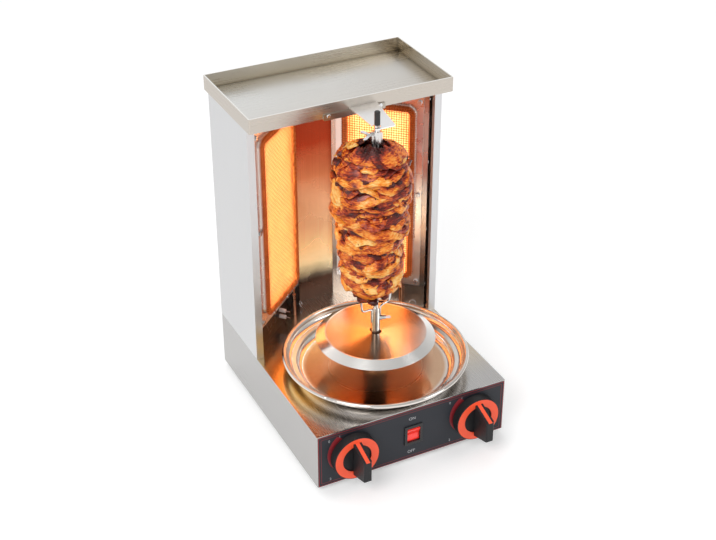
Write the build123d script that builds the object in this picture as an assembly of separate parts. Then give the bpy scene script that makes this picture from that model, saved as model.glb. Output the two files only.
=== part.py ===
"""Table-top vertical skewer grill with two upright infrared burners, modelled piece by piece.

X runs to the right, Y to the back and Z up, in millimetres. The origin is on the surface that
the grill stands on, in the middle of the whole length and width.
"""
import os
from math import atan2, cos, degrees, hypot, pi, radians, sin

from build123d import *

# ---- base box ----
base_width = 300.0
base_depth = 346.0
base_height = 88.0
foot_height = 8.0
foot_radius = 9.0
foot_inset = 32.0
sheet = 1.0                     # gauge of the housing sheets
panel_gauge = 1.2               # gauge of the control panel
overlay_gauge = 0.5
flange = 12.0                   # inward folds that carry the joints

# ---- cabinet ----
cabinet_depth = 139.0
cabinet_height = 377.5
front_flange = 11.0             # visible front fold of each wall
hem = 7.0                       # fold behind that flange
reflector_setback = 16.0        # wall front to the front edge of an angled panel
middle_width = 58.0             # width of the middle reflector
middle_gap = 26.0               # middle reflector to the back of the cabinet

# ---- tray ----
tray_lip = 21.7
tray_side_overhang = 5.0
tray_front_overhang = 22.0
tray_back_overhang = 3.0
lip_gauge = 2.0                 # a lip is a folded double sheet

# ---- burners ----
window_width = 94.0
window_height = 272.0
window_low = 60.0               # deck to the bottom of the glowing window
rim_width = 8.0                 # raised rim round the window
rim_stand = 8.5                 # rim's front above the angled panel
flange_width = 132.0            # burner flange, with its screws
flange_height = 318.0
burner_box_depth = 29.0
tile_gauge = 13.0
mesh_gauge = 1.0
mesh_wire = 1.4
mesh_columns = 10
mesh_rows = 29

# ---- turning parts ----
axis_setback = 117.4            # front of the base to the skewer's axis
shaft_radius = 4.0
hub_radius = 17.0
plate_top = 60.1                # deck to the top of the turning plate
plate_flat_radius = 72.9
plate_radius = 86.0
plate_drop = 8.5                # fall of the plate's sloped rim
plate_gauge = 1.2
pan_radius = 135.9
pan_height = 26.7
pan_floor_radius = 105.0
pan_gauge = 0.9
pan_roll = 3.2                  # radius of the rolled rim
pan_collar = 5.0                # height of the collar round the hub
hub_gap = 3.5                   # pan's hole to the hub

# ---- skewer ----
rod_radius = 4.0
rod_top = 408.0                 # deck to the top of the rod
socket_depth = 5.0
sleeve_radius = 6.2
lower_sleeve = 40.0
upper_sleeve = 28.0
upper_sleeve_top = 379.2        # deck to the top of the upper fork's sleeve
tine_radius = 1.75
meat_low = 120.0                # deck to the bottom of the meat
meat_height = 243.0
meat_radius = 61.0

# ---- skewer arm ----
arm_strip_width = 94.0
arm_strip_height = 9.0
arm_drop = 2.5                  # strip's lower edge below the tray
arm_gauge = 1.6
arm_root = (-8.0, 34.0)         # left and right edges of the tongue where it leaves the lip
arm_tip = (-6.5, 23.0)          # and at its tip
arm_level = 9.3                 # tray's underside to the top of the tongue
arm_beyond = 9.0                # tip beyond the skewer's axis

# ---- controls ----
knob_offset = 97.0              # from the middle of the panel
knob_height = 46.0              # above the base's bottom edge
knob_radius = 34.5
knob_depth = 13.7
fin_depth = 33.0
fin_gauge = 12.0
push_travel = 3.0
switch_width = 29.0
switch_height = 33.0
switch_centre_height = 42.5
rocker_tilt = 10.0              # a rocker leans this far to each side of level

# ---- gas and power ----
pipe_radius = 6.0
supply_radius = 3.0
valve_width = 28.0
inlet_reach = 50.5              # gas inlet behind the back
motor_radius = 30.0
gearbox_height = 20.0
can_height = 28.0

# ---- clearances ----
fit = 0.06                      # running fit, on the radius
slack = 0.3                     # between pieces that move past each other
hole_slack = 0.15               # screw or rivet shank in its hole, on the radius

# ---- places worked out from the sizes ----
knob_gap = push_travel + slack               # knob's back to the overlay
knob_reach = overlay_gauge + knob_gap + knob_depth + fin_depth
centre_y = (knob_reach - inlet_reach) / 2
front_y = centre_y - base_depth / 2
back_y = centre_y + base_depth / 2
half_width = base_width / 2
deck_z = foot_height + base_height
wall_front_y = back_y - cabinet_depth
tray_z = deck_z + cabinet_height
axis_y = front_y + axis_setback
middle_y = back_y - middle_gap
panel_front_x = half_width - front_flange
panel_front_y = wall_front_y + reflector_setback
panel_run = panel_front_x - middle_width / 2
panel_length = hypot(panel_run, middle_y - panel_front_y)
panel_angle = degrees(atan2(middle_y - panel_front_y, panel_run))
panel_mid_x = (panel_front_x + middle_width / 2) / 2
panel_mid_y = (panel_front_y + middle_y) / 2
window_mid = window_low + window_height / 2
knob_z = foot_height + knob_height
skin_y = front_y - overlay_gauge            # front of the printed overlay


def box(x0, x1, y0, y1, z0, z1):
    """A block between two corners."""
    centre = Pos((x0 + x1) / 2, (y0 + y1) / 2, (z0 + z1) / 2)
    return centre * Box(abs(x1 - x0), abs(y1 - y0), abs(z1 - z0))


def rod(start, direction, radius, length):
    """A round bar from a point along a direction."""
    base = Plane(origin=start, z_dir=direction)
    return base * Cylinder(radius, length, align=(Align.CENTER, Align.CENTER, Align.MIN))


def cut(piece, tools):
    """Take every tool out of a piece."""
    for tool in tools:
        piece = piece - tool
    return piece


def pipe(points, radii, radius):
    """A round tube's solid along straight runs joined by tangent arcs."""
    path = FilletPolyline(*points, radius=radii)
    start = Plane(origin=path @ 0, z_dir=path % 0)
    return sweep(start * Circle(radius), path=path)


def burner_place(side):
    """The frame of an angled panel: X along it, -Y into the chamber, Z up from the deck."""
    return Location((side * panel_mid_x, panel_mid_y, deck_z), (0, 0, -side * panel_angle))


SIDES = {"left": -1, "right": 1}

# ---- fasteners ----
screw_radius = 2.0
screw_head_radius = 3.6
screw_head = 2.4
rivet_radius = 1.6
rivet_head_radius = 3.0
rivet_head = 1.2


def screw(point, direction, length=8.0):
    """A pan head screw with a cross recess; the head sits on the surface at the point."""
    head = Cylinder(screw_head_radius, screw_head, align=(Align.CENTER, Align.CENTER, Align.MIN))
    head = fillet(head.edges().sort_by(Axis.Z)[-1], screw_head / 3)
    recess = Pos(0, 0, screw_head) * (Box(4.2, 0.9, 1.6) + Box(0.9, 4.2, 1.6))
    shank = Pos(0, 0, -length / 2) * Cylinder(screw_radius, length)
    return Plane(origin=point, z_dir=direction) * (head - recess + shank)


def rivet(point, direction, length=4.0):
    """A domed blind rivet."""
    head = Cylinder(rivet_head_radius, rivet_head, align=(Align.CENTER, Align.CENTER, Align.MIN))
    head = fillet(head.edges().sort_by(Axis.Z)[-1], rivet_head * 0.7)
    shank = Pos(0, 0, -length / 2) * Cylinder(rivet_radius, length)
    return Plane(origin=point, z_dir=direction) * (head + shank)


def holes(spots, radius, reach=6.0):
    """Drills that run both ways from each fastener's place."""
    return [rod(Vector(p) - Vector(d) * reach, d, radius + hole_slack, 2 * reach) for p, d in spots]


# Screws in the back sheets, at the rear folds of the walls and of the base
fold_x = half_width - sheet - flange / 2
BACK_SCREWS = [((side * fold_x, back_y, deck_z + share * cabinet_height), (0, 1, 0))
               for side in (-1, 1) for share in (0.06, 0.36, 0.66, 0.94)]
BASE_BACK_SCREWS = [((side * fold_x, back_y, foot_height + share * base_height), (0, 1, 0))
                    for side in (-1, 1) for share in (0.25, 0.78)]
# Screws through the walls' bottom folds into the deck
wall_foot = 8.0                 # width of a wall's bottom and top folds
WALL_SCREWS = [((side * (half_width - sheet - wall_foot / 2), wall_front_y + share * cabinet_depth,
                 deck_z + sheet), (0, 0, 1)) for side in (-1, 1) for share in (0.1, 0.88)]
# Screws that hold the gearbox up to its bracket
bracket_drop = 14.0
bracket_gauge = 1.5
bracket_z = deck_z - sheet - bracket_drop        # upper face of the bracket's floor
gearbox_top = bracket_z - bracket_gauge
MOTOR_SCREWS = [((side * motor_radius * 0.72, axis_y, bracket_z), (0, 0, 1)) for side in (-1, 1)]
# Rivets on the reflectors' bottom folds and on the arm's strip
reflector_fold = 10.0
RIVETS_MIDDLE = [((side * middle_width * 0.28, middle_y + sheet + reflector_fold / 2, deck_z + sheet),
                  (0, 0, 1)) for side in (-1, 1)]
lip_y = wall_front_y - tray_front_overhang       # front face of the tray's lip
strip_low = tray_z - arm_drop
RIVETS_ARM = [((side * arm_strip_width * 0.42, lip_y - arm_gauge, strip_low + arm_strip_height * 0.66),
               (0, -1, 0)) for side in (-1, 1)]
# Rivets on the reflectors' front folds, in the dark gap beside each wall
EDGE_RIVET_SHARES = (0.1, 0.36, 0.66, 0.93)


def edge_rivets(side):
    """Rivets through an angled panel's front fold, in the panel's own frame."""
    x = side * panel_length / 2
    return [((x, sheet + reflector_fold * 0.55, share * cabinet_height), (side, 0, 0))
            for share in EDGE_RIVET_SHARES]


def bottom_rivets(side):
    """Rivets through an angled panel's bottom fold, in the panel's own frame."""
    return [((x, sheet + reflector_fold * 0.5, sheet), (0, 0, 1))
            for x in (-panel_length * 0.3, panel_length * 0.22)]


# ================= base =================
supply_x = panel_mid_x + (burner_box_depth * 0.5) * sin(radians(panel_angle))
supply_y = panel_mid_y + (burner_box_depth * 0.5) * cos(radians(panel_angle))
bush_radius = 7.0
probe_x = 38.0                  # thermocouple tube, along the panel from its middle
probe_radius = 2.5
probe_stand = 7.0
GLAND = (-half_width * 0.62, foot_height + base_height * 0.42)
gland_radius = 8.0
INLET_X = half_width * 0.79
MANIFOLD_Z = knob_z
nozzle_radius = 6.5


def base_housing():
    """Deck and both sides: one sheet folded down, with inward folds at the bottom and the back."""
    deck = box(-half_width, half_width, front_y, back_y - sheet, deck_z - sheet, deck_z)
    for side in (-1, 1):
        wall = box(side * half_width, side * (half_width - sheet), front_y, back_y - sheet,
                   foot_height, deck_z)
        inner = side * (half_width - sheet)
        bottom = box(inner, inner - side * flange, front_y + 20, back_y - 20,
                     foot_height + sheet, foot_height + 2 * sheet)
        rear = box(inner, inner - side * flange, back_y - 2 * sheet, back_y - sheet,
                   foot_height + 2 * sheet + 1, deck_z - sheet)
        deck = deck + wall + bottom + rear
    tools = holes(WALL_SCREWS + BASE_BACK_SCREWS, screw_radius)
    tools += holes(RIVETS_MIDDLE, rivet_radius)
    for side in (-1, 1):
        tools += [burner_place(side) * drill
                  for drill in holes(bottom_rivets(side), rivet_radius)]
        tools.append(rod((side * supply_x, supply_y, deck_z - 5), (0, 0, 1), nozzle_radius + slack, 10))
        tools.append(burner_place(side) * rod((probe_x, -probe_stand, -5), (0, 0, 1),
                                              probe_radius + slack, 10))
    tools.append(rod((0, axis_y, deck_z - 5), (0, 0, 1), bush_radius + hole_slack, 10))
    return cut(deck, tools)


def base_back():
    """Rear sheet of the base, with the gas inlet, the cable gland and a row of vents."""
    plate = box(-half_width + sheet + slack, half_width - sheet - slack, back_y - sheet, back_y,
                foot_height + sheet, deck_z - sheet)
    tools = holes(BASE_BACK_SCREWS, screw_radius)
    tools.append(rod((GLAND[0], back_y - 5, GLAND[1]), (0, 1, 0), gland_radius + hole_slack, 10))
    tools.append(rod((INLET_X, back_y - 5, MANIFOLD_Z), (0, 1, 0), pipe_radius + 2 + hole_slack, 10))
    for column in range(9):
        x = (column - 4) * 9.0
        tools.append(box(x - 2, x + 2, back_y - 3, back_y + 2,
                         foot_height + base_height * 0.3, foot_height + base_height * 0.7))
    return cut(plate, tools)


def foot_spots():
    """Where the four feet stand."""
    return [(sx * (half_width - foot_inset), y) for sx in (-1, 1)
            for y in (front_y + foot_inset, back_y - foot_inset)]


def bottom_plate():
    """Bottom sheet with air slots, fixed by the feet's screws and the side folds."""
    plate = box(-half_width + sheet + slack, half_width - sheet - slack, front_y + panel_gauge,
                back_y, foot_height, foot_height + sheet)
    tools = [rod((x, y, foot_height - 3), (0, 0, 1), screw_radius + hole_slack, 8)
             for x, y in foot_spots()]
    for column in range(5):
        for row in range(3):
            x = (column - 2) * base_width * 0.12
            y = centre_y + (row - 1) * base_depth * 0.2
            tools.append(box(x - 3, x + 3, y - 22, y + 22, foot_height - 2, foot_height + 4))
    return cut(plate, tools)


def rubber_feet():
    """Four turned rubber feet, each with a well for its screw."""
    feet = []
    for x, y in foot_spots():
        foot = Pos(x, y, foot_height / 2) * Cone(foot_radius * 0.82, foot_radius, foot_height)
        foot = foot - rod((x, y, -1), (0, 0, 1), screw_head_radius + 0.5, 1 + foot_height * 0.5)
        feet.append(foot - rod((x, y, 0), (0, 0, 1), screw_radius + hole_slack, foot_height + 1))
    return feet


def foot_screws():
    """Screws up through the feet, their heads in the feet's wells."""
    return [screw((x, y, foot_height * 0.5), (0, 0, -1), length=foot_height * 0.5 + 6)
            for x, y in foot_spots()]


# ================= control panel =================
stem_radius = 4.0
switch_z = foot_height + switch_centre_height
switch_well_w = switch_width - 5.0
switch_well_h = switch_height - 6.0


def control_panel():
    """Front plate with a fold along the top and bottom, the stem holes and the switch's window."""
    edge = half_width - sheet - slack
    plate = box(-edge, edge, front_y, front_y + panel_gauge, foot_height + sheet, deck_z - sheet)
    low = foot_height + sheet
    plate += box(-edge, edge, front_y, front_y + panel_gauge, foot_height, low)
    plate += box(-edge + flange + 2, edge - flange - 2, front_y, front_y + flange,
                 deck_z - sheet - panel_gauge, deck_z - sheet)
    plate += box(-edge + flange + 2, edge - flange - 2, front_y + panel_gauge, front_y + flange,
                 low, low + panel_gauge)
    tools = [rod((side * knob_offset, front_y - 5, knob_z), (0, 1, 0), stem_radius + 1.5, 12)
             for side in (-1, 1)]
    tools.append(box(-switch_well_w / 2, switch_well_w / 2, front_y - 5, front_y + 8,
                     switch_z - switch_well_h / 2, switch_z + switch_well_h / 2))
    return cut(plate, tools)


def panel_overlay():
    """Dark printed film glued on the front plate."""
    edge = half_width - 1.2
    film = box(-edge, edge, skin_y, front_y, foot_height + 0.6, deck_z - 1.6)
    film = fillet(film.edges().filter_by(Axis.Y), 1.5)
    tools = [rod((side * knob_offset, front_y - 5, knob_z), (0, 1, 0), stem_radius + 2.0, 12)
             for side in (-1, 1)]
    tools.append(box(-switch_well_w / 2, switch_well_w / 2, front_y - 5, front_y + 8,
                     switch_z - switch_well_h / 2, switch_z + switch_well_h / 2))
    return cut(film, tools)


# Knob: a deep round body with a dished face and a fin grip that runs out from it
face_y = skin_y - knob_gap - knob_depth          # front face of a knob's body
ring_inner = knob_radius * 0.64
ring_outer = knob_radius - 1.0
ring_gauge = 1.4
dish_depth = 2.5
fin_root = knob_radius * 0.80               # half height of the fin where it leaves the face
fin_tip = knob_radius * 0.48                # half height of the fin's front
stripe_gauge = 1.0
stripe_width = 6.0


def fin_profile(shrink=0.0):
    """Side outline of the fin, in the YZ plane of a knob whose axis is at the origin."""
    return make_face(Polyline((dish_depth, fin_root - shrink), (-fin_depth, fin_tip - shrink),
                              (-fin_depth, -fin_tip), (dish_depth, -fin_root), close=True))


def knob(side):
    """Black moulded knob: body, dished face, fin, and the socket for the stem."""
    body = rod((0, knob_depth, 0), (0, -1, 0), knob_radius, knob_depth)
    body = fillet(body.edges().filter_by(GeomType.CIRCLE).sort_by(Axis.Y)[0], 0.8)
    body -= rod((0, ring_gauge, 0), (0, -1, 0), ring_outer, ring_gauge + 1)
    body -= rod((0, dish_depth, 0), (0, -1, 0), ring_inner, dish_depth + 1)
    grip = extrude(Plane.YZ * fin_profile(), fin_gauge / 2, both=True)
    grip = fillet(grip.edges().filter_by(Axis.Z), 2.0)
    body += grip
    groove = extrude(Plane.YZ * fin_profile(), stripe_width / 2, both=True)
    groove -= extrude(Plane.YZ * fin_profile(stripe_gauge), stripe_width, both=True)
    body -= groove
    socket = rod((0, knob_depth + 1, 0), (0, -1, 0), stem_radius + fit, knob_depth - 1)
    body -= socket - box(-stem_radius - 1, stem_radius + 1, 0, knob_depth + 1,
                         stem_radius * 0.55 + fit, stem_radius + 1)
    return Pos(side * knob_offset, face_y, knob_z) * body


def knob_ring(side):
    """Orange insert: a flat ring with a pointer stripe that runs up the fin's ridge."""
    ring = rod((0, ring_gauge, 0), (0, -1, 0), ring_outer - 0.1, ring_gauge)
    ring -= rod((0, ring_gauge + 1, 0), (0, -1, 0), ring_inner, ring_gauge + 2)
    ring -= extrude(Plane.YZ * fin_profile(-0.1), fin_gauge / 2 + 0.1, both=True)
    stripe = extrude(Plane.YZ * fin_profile(), stripe_width / 2 - 0.1, both=True)
    stripe -= extrude(Plane.YZ * fin_profile(stripe_gauge - 0.1), stripe_width, both=True)
    bridge = box(-stripe_width / 2 + 0.1, stripe_width / 2 - 0.1, 0, ring_gauge,
                 fin_root - 2 * stripe_gauge, ring_outer - 1)
    bridge -= extrude(Plane.YZ * fin_profile(stripe_gauge - 0.1), stripe_width, both=True)
    return Pos(side * knob_offset, face_y, knob_z) * (ring + stripe + bridge)


def valve_stem(side):
    """Steel stem with a flat, turned by the knob and pushed in with it."""
    tail = valve_front_y + valve_bore
    length = tail - push_travel - slack - (face_y + 2.2)
    stem = rod((0, 0, 0), (0, 1, 0), stem_radius, length)
    stem -= box(-stem_radius - 1, stem_radius + 1, -1, knob_depth - 1, stem_radius * 0.55,
                stem_radius + 1)
    return Pos(side * knob_offset, face_y + 2.2, knob_z) * stem


def spring_cup(side):
    """Cup of the return spring: it slides in with the stem but doesn't turn."""
    cup = rod((0, 0, 0), (0, 1, 0), stem_radius + 4, 3.0)
    cup -= rod((0, -1, 0), (0, 1, 0), stem_radius + fit, 5.0)
    return Pos(side * knob_offset, valve_front_y - push_travel - 3.0 - slack, knob_z) * cup


# ================= gas train =================
valve_front_y = front_y + 16.0
valve_bore = 12.0
valve_depth = 34.0
manifold_y = valve_front_y + valve_depth + pipe_radius - 1.0
supply_rise = 26.0              # knob axis to the supply tubes' level run


def gas_valves():
    """Two brass valve bodies that clamp on the manifold, each with an outlet on top."""
    bodies = []
    for side in (-1, 1):
        x = side * knob_offset
        half = valve_width / 2
        body = box(x - half, x + half, valve_front_y, valve_front_y + valve_depth - 1,
                   knob_z - half, knob_z + half)
        body = fillet(body.edges().filter_by(Axis.Y), 4.0)
        body += rod((x, valve_front_y + valve_depth * 0.5, knob_z), (0, 0, 1), supply_radius + 3,
                    half + 5)
        bore = rod((x, valve_front_y - 1, knob_z), (0, 1, 0), stem_radius + fit, valve_bore + 1)
        body -= bore
        body -= box(x - half * 2, x + half * 2, manifold_y - pipe_radius - hole_slack,
                    manifold_y + pipe_radius * 2, knob_z - half * 2, knob_z + half * 2)
        bodies.append(body)
    return bodies


def gas_manifold():
    """Pipe behind the valves that runs down the right side to the inlet at the back."""
    end_x = -knob_offset - valve_width / 2
    return pipe([(end_x, manifold_y, MANIFOLD_Z), (INLET_X, manifold_y, MANIFOLD_Z),
                 (INLET_X, back_y - 14, MANIFOLD_Z)], [18.0], pipe_radius)


def gas_inlet():
    """Brass inlet: a nut inside, a hexagon outside and a barbed nipple for the gas hose."""
    nut = rod((0, -14, 0), (0, 1, 0), pipe_radius + 4, 14 - sheet)
    neck = rod((0, -sheet, 0), (0, 1, 0), pipe_radius + 2, sheet)
    hexagon = Plane(origin=(0, 0, 0), x_dir=(1, 0, 0), z_dir=(0, 1, 0)) * extrude(
        RegularPolygon(pipe_radius + 5, 6), 9)
    nipple = rod((0, 9, 0), (0, 1, 0), pipe_radius - 2, inlet_reach - 9)
    barb = (inlet_reach - 16) / 4
    for index in range(4):
        cone = Plane(origin=(0, 15 + index * barb, 0), z_dir=(0, 1, 0)) * Cone(
            pipe_radius - 0.3, pipe_radius - 1.9, barb, align=(Align.CENTER, Align.CENTER, Align.MIN))
        nipple += cone
    body = nut + neck + hexagon + nipple
    body -= rod((0, -15, 0), (0, 1, 0), pipe_radius - 3.4, inlet_reach + 20)
    return Pos(INLET_X, back_y, MANIFOLD_Z) * body


def supply_tubes():
    """Tube from each valve's outlet back to the injector under its burner."""
    tubes = []
    for side in (-1, 1):
        start = (side * knob_offset, valve_front_y + valve_depth * 0.5,
                 knob_z + valve_width / 2 + 5)
        level = start[2] + (deck_z - sheet - start[2]) * 0.5
        tubes.append(pipe([start, (start[0], start[1], level), (side * supply_x, supply_y, level),
                           (side * supply_x, supply_y, deck_z - sheet)],
                          [(level - start[2]) * 0.9] * 2, supply_radius))
    return tubes


def injectors():
    """Brass injector on each supply tube, standing up through the deck below the burner."""
    parts = []
    for side in (-1, 1):
        spot = (side * supply_x, supply_y, deck_z - sheet)
        body = rod(spot, (0, 0, 1), nozzle_radius, sheet + 6)
        tip = rod((spot[0], spot[1], deck_z + 6), (0, 0, 1), 3.0, 5)
        parts.append(body + tip)
    return parts


# ================= burners =================
box_width = window_width + 2 * rim_width - 4.0
box_height = window_height + 2 * rim_width - 4.0
ledge_y = tile_gauge - 3.0
tile_corner = 8.0
mesh_y = -rim_stand + mesh_gauge            # front of the mesh, behind the rim's lip


def burner_screw_spots():
    """Screws round a burner's flange, in the panel's frame."""
    x = flange_width / 2 - 6.0
    half = flange_height / 2
    rows = (window_mid - half + 8, window_mid, window_mid + half - 8)
    spots = [((side * x, -2 * sheet, z), (0, -1, 0)) for side in (-1, 1) for z in rows]
    spots += [((side * x * 0.4, -2 * sheet, rows[0] - 4), (0, -1, 0)) for side in (-1, 1)]
    return spots


def around_window(width, height, y0, y1):
    """A block centred on the window, in the panel's frame."""
    return box(-width / 2, width / 2, y0, y1, window_mid - height / 2, window_mid + height / 2)


def burner_housing(side):
    """Pressed gas chamber with a flange on the panel's face and a venturi pipe below."""
    body = around_window(flange_width, flange_height, -sheet, 0)
    body += around_window(box_width, box_height, -sheet, burner_box_depth)
    body -= around_window(box_width - 2 * sheet, box_height - 2 * sheet, -sheet - 1, ledge_y)
    body -= around_window(box_width - 10, box_height - 10, ledge_y - 1, burner_box_depth - sheet)
    low = window_mid - box_height / 2
    throat = rod((0, burner_box_depth * 0.5, 14), (0, 0, 1), 9.0, low - 14 + sheet)
    throat += Pos(0, burner_box_depth * 0.5, 17) * Cone(12.5, 9.0, 6)
    body += throat
    body -= rod((0, burner_box_depth * 0.5, 12), (0, 0, 1), 7.5, low - 12 + 3)
    body = cut(body, holes(burner_screw_spots(), screw_radius, 8.0))
    return burner_place(side) * body


def burner_tiles(side):
    """Two ceramic tiles, one above the other, that sit on the housing's ledge."""
    width = box_width - 2 * sheet - 0.6
    height = (box_height - 2 * sheet - 0.8) / 2
    tiles = []
    for row in (-1, 1):
        tile = box(-width / 2, width / 2, ledge_y - tile_gauge, ledge_y - 0.05,
                   window_mid + row * 0.1, window_mid + row * (height + 0.1))
        outer = tile.edges().filter_by(Axis.Y).sort_by(Axis.Z)
        tile = fillet(outer[-2:] if row > 0 else outer[:2], tile_corner)
        tiles.append(burner_place(side) * tile)
    return tiles


def burner_mesh(side):
    """Woven wire guard in front of the tiles, drawn as one holed sheet."""
    width = window_width + 6
    height = window_height + 6
    pitch_x = (window_width - mesh_wire) / mesh_columns
    pitch_z = (window_height - mesh_wire) / mesh_rows
    sheet_face = Rectangle(width, height)
    gaps = GridLocations(pitch_x, pitch_z, mesh_columns, mesh_rows) * Rectangle(
        pitch_x - mesh_wire, pitch_z - mesh_wire)
    guard = extrude(sheet_face - gaps, mesh_gauge)
    upright = Plane(origin=(0, mesh_y, window_mid), x_dir=(1, 0, 0), z_dir=(0, 1, 0))
    return burner_place(side) * (upright * guard)


def burner_frame(side):
    """Pressed rim that clamps the mesh, on a flange that shares the housing's screws."""
    rim_w = window_width + 2 * rim_width
    rim_h = window_height + 2 * rim_width
    body = around_window(flange_width, flange_height, -2 * sheet, -sheet)
    rim = around_window(rim_w, rim_h, -rim_stand, -sheet)
    rim = fillet(rim.edges().filter_by(Axis.Y), 13.0)
    rim = fillet(rim.faces().sort_by(Axis.Y)[0].edges(), 1.2)
    body += rim
    body -= around_window(window_width + 6.4, window_height + 6.4, mesh_y - 0.05, 0)
    pocket = around_window(box_width - 2 * sheet, box_height - 2 * sheet,
                           ledge_y - tile_gauge - slack, 0)
    body -= fillet(pocket.edges().filter_by(Axis.Y), tile_corner - slack)
    window = around_window(window_width, window_height, -rim_stand - 1, 0)
    body -= fillet(window.edges().filter_by(Axis.Y), 5.0)
    body = cut(body, holes(burner_screw_spots(), screw_radius, 8.0))
    return burner_place(side) * body


def burner_screws():
    """Screws of both burners, through flange, frame and panel."""
    return [burner_place(side) * screw(point, direction, 6.0)
            for side in (-1, 1) for point, direction in burner_screw_spots()]


# Igniter electrode and flame probe below each burner
electrode_z = (30.0, 19.0)
electrode_radius = 3.2
spark_wire_radius = 0.9
loop_wire_radius = 0.7
loop_x = panel_length / 2 - 16.0
loop_z = 8.0


def electrode_ceramics():
    """Two glazed ceramic posts below each burner, out through the panel."""
    return [burner_place(side) * rod((0, sheet + 0.6, z), (0, -1, 0), electrode_radius, 11.6)
            for side in (-1, 1) for z in electrode_z]


def electrode_wires():
    """Spark wire in each ceramic post, bent up towards the tiles, and a wire loop by the deck."""
    wires = []
    for side in (-1, 1):
        for z in electrode_z:
            wires.append(burner_place(side) * rod((0, -10, z), (0, -1, 0), spark_wire_radius, 7))
        ring = Plane(origin=(loop_x, -9, loop_z), z_dir=(0.35, -1, 0.5)) * Torus(5.0, loop_wire_radius)
        stem = rod((loop_x, 0, loop_z), (0, -1, 0), loop_wire_radius, 4.6)
        wires.append(burner_place(side) * (ring + stem))
    return wires


def thermocouples():
    """Copper flame probe that rises from the deck to the bottom of each burner."""
    low = window_mid - flange_height / 2
    return [burner_place(side) * (rod((probe_x, -probe_stand, -4), (0, 0, 1), probe_radius, low + 4)
                                  + rod((probe_x, -probe_stand, low), (0, 0, 1), 1.6, 9))
            for side in (-1, 1)]


# ================= cabinet =================
def cabinet_wall(side):
    """Outer wall, folded in at the front, back, top and bottom, with a hem behind the front."""
    outer = side * half_width
    inner = side * (half_width - sheet)
    wall = box(outer, inner, wall_front_y, back_y - sheet, deck_z, tray_z)
    lip_x = outer - side * front_flange
    wall += box(outer, lip_x, wall_front_y, wall_front_y + sheet, deck_z, tray_z)
    wall += box(lip_x, lip_x + side * sheet, wall_front_y, wall_front_y + hem, deck_z, tray_z)
    wall += box(inner, inner - side * flange, back_y - 2 * sheet, back_y - sheet, deck_z, tray_z)
    for z0, z1 in ((deck_z, deck_z + sheet), (tray_z - sheet, tray_z)):
        wall += box(inner, inner - side * wall_foot, wall_front_y + hem + 1, back_y - 2 * sheet - 3,
                    z0, z1)
    return cut(wall, holes(WALL_SCREWS + BACK_SCREWS, screw_radius))


def rear_cover():
    """Flat back sheet of the cabinet with three columns of vents."""
    plate = box(-half_width, half_width, back_y - sheet, back_y, deck_z, tray_z)
    tools = holes(BACK_SCREWS, screw_radius)
    for column in (-1, 0, 1):
        for row in range(8):
            x = column * base_width * 0.22
            z = deck_z + cabinet_height * 0.62 + row * 12.0
            slot = box(x - 22, x + 22, back_y - 3, back_y + 2, z - 2, z + 2)
            tools.append(fillet(slot.edges().filter_by(Axis.Y), 1.9))
    return cut(plate, tools)


def middle_reflector():
    """Polished sheet between the two angled panels, folded back at top and bottom."""
    half = middle_width / 2 - slack
    plate = box(-half, half, middle_y, middle_y + sheet, deck_z, tray_z)
    plate += box(-half, half, middle_y, middle_y + sheet + reflector_fold, deck_z, deck_z + sheet)
    plate += box(-half, half, middle_y, middle_y + sheet + reflector_fold, tray_z - sheet, tray_z)
    return cut(plate, holes(RIVETS_MIDDLE, rivet_radius))


def angled_reflector(side):
    """Angled panel with the burner's opening, folded back at its front edge, top and bottom."""
    half = panel_length / 2
    plate = box(-half, half, 0, sheet, 0, cabinet_height)
    front = side * half
    plate += box(front, front - side * sheet, 0, sheet + reflector_fold, 2, cabinet_height - 2)
    for z0, z1 in ((0, sheet), (cabinet_height - sheet, cabinet_height)):
        plate += box(-side * (half - 14), side * (half - 26), 0, sheet + reflector_fold, z0, z1)
    plate -= around_window(box_width + 1.0, box_height + 1.0, -1, sheet + 1)
    tools = holes(burner_screw_spots(), screw_radius, 8.0)
    tools += holes(bottom_rivets(side), rivet_radius) + holes(edge_rivets(side), rivet_radius, 3.0)
    tools += [rod((0, 6, z), (0, -1, 0), electrode_radius + hole_slack, 12) for z in electrode_z]
    tools.append(rod((loop_x, 5, loop_z), (0, -1, 0), loop_wire_radius + hole_slack, 8))
    tools.append(rod((0, burner_box_depth * 0.5, -1), (0, 0, 1), nozzle_radius + 1.0, 3))
    return burner_place(side) * cut(plate, tools)


def top_tray():
    """Shallow tray that closes the cabinet: a floor and four folded lips."""
    x = half_width + tray_side_overhang
    y0 = lip_y
    y1 = back_y + tray_back_overhang
    tray = box(-x, x, y0, y1, tray_z, tray_z + tray_lip)
    tray = fillet(tray.edges().filter_by(Axis.Z), 1.5)
    tray -= box(-x + lip_gauge, x - lip_gauge, y0 + lip_gauge, y1 - lip_gauge, tray_z + sheet,
                tray_z + tray_lip + 1)
    return cut(tray, holes(RIVETS_ARM, rivet_radius, 4.6))


# ================= skewer arm =================
arm_slot_radius = rod_radius + 0.8


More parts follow.
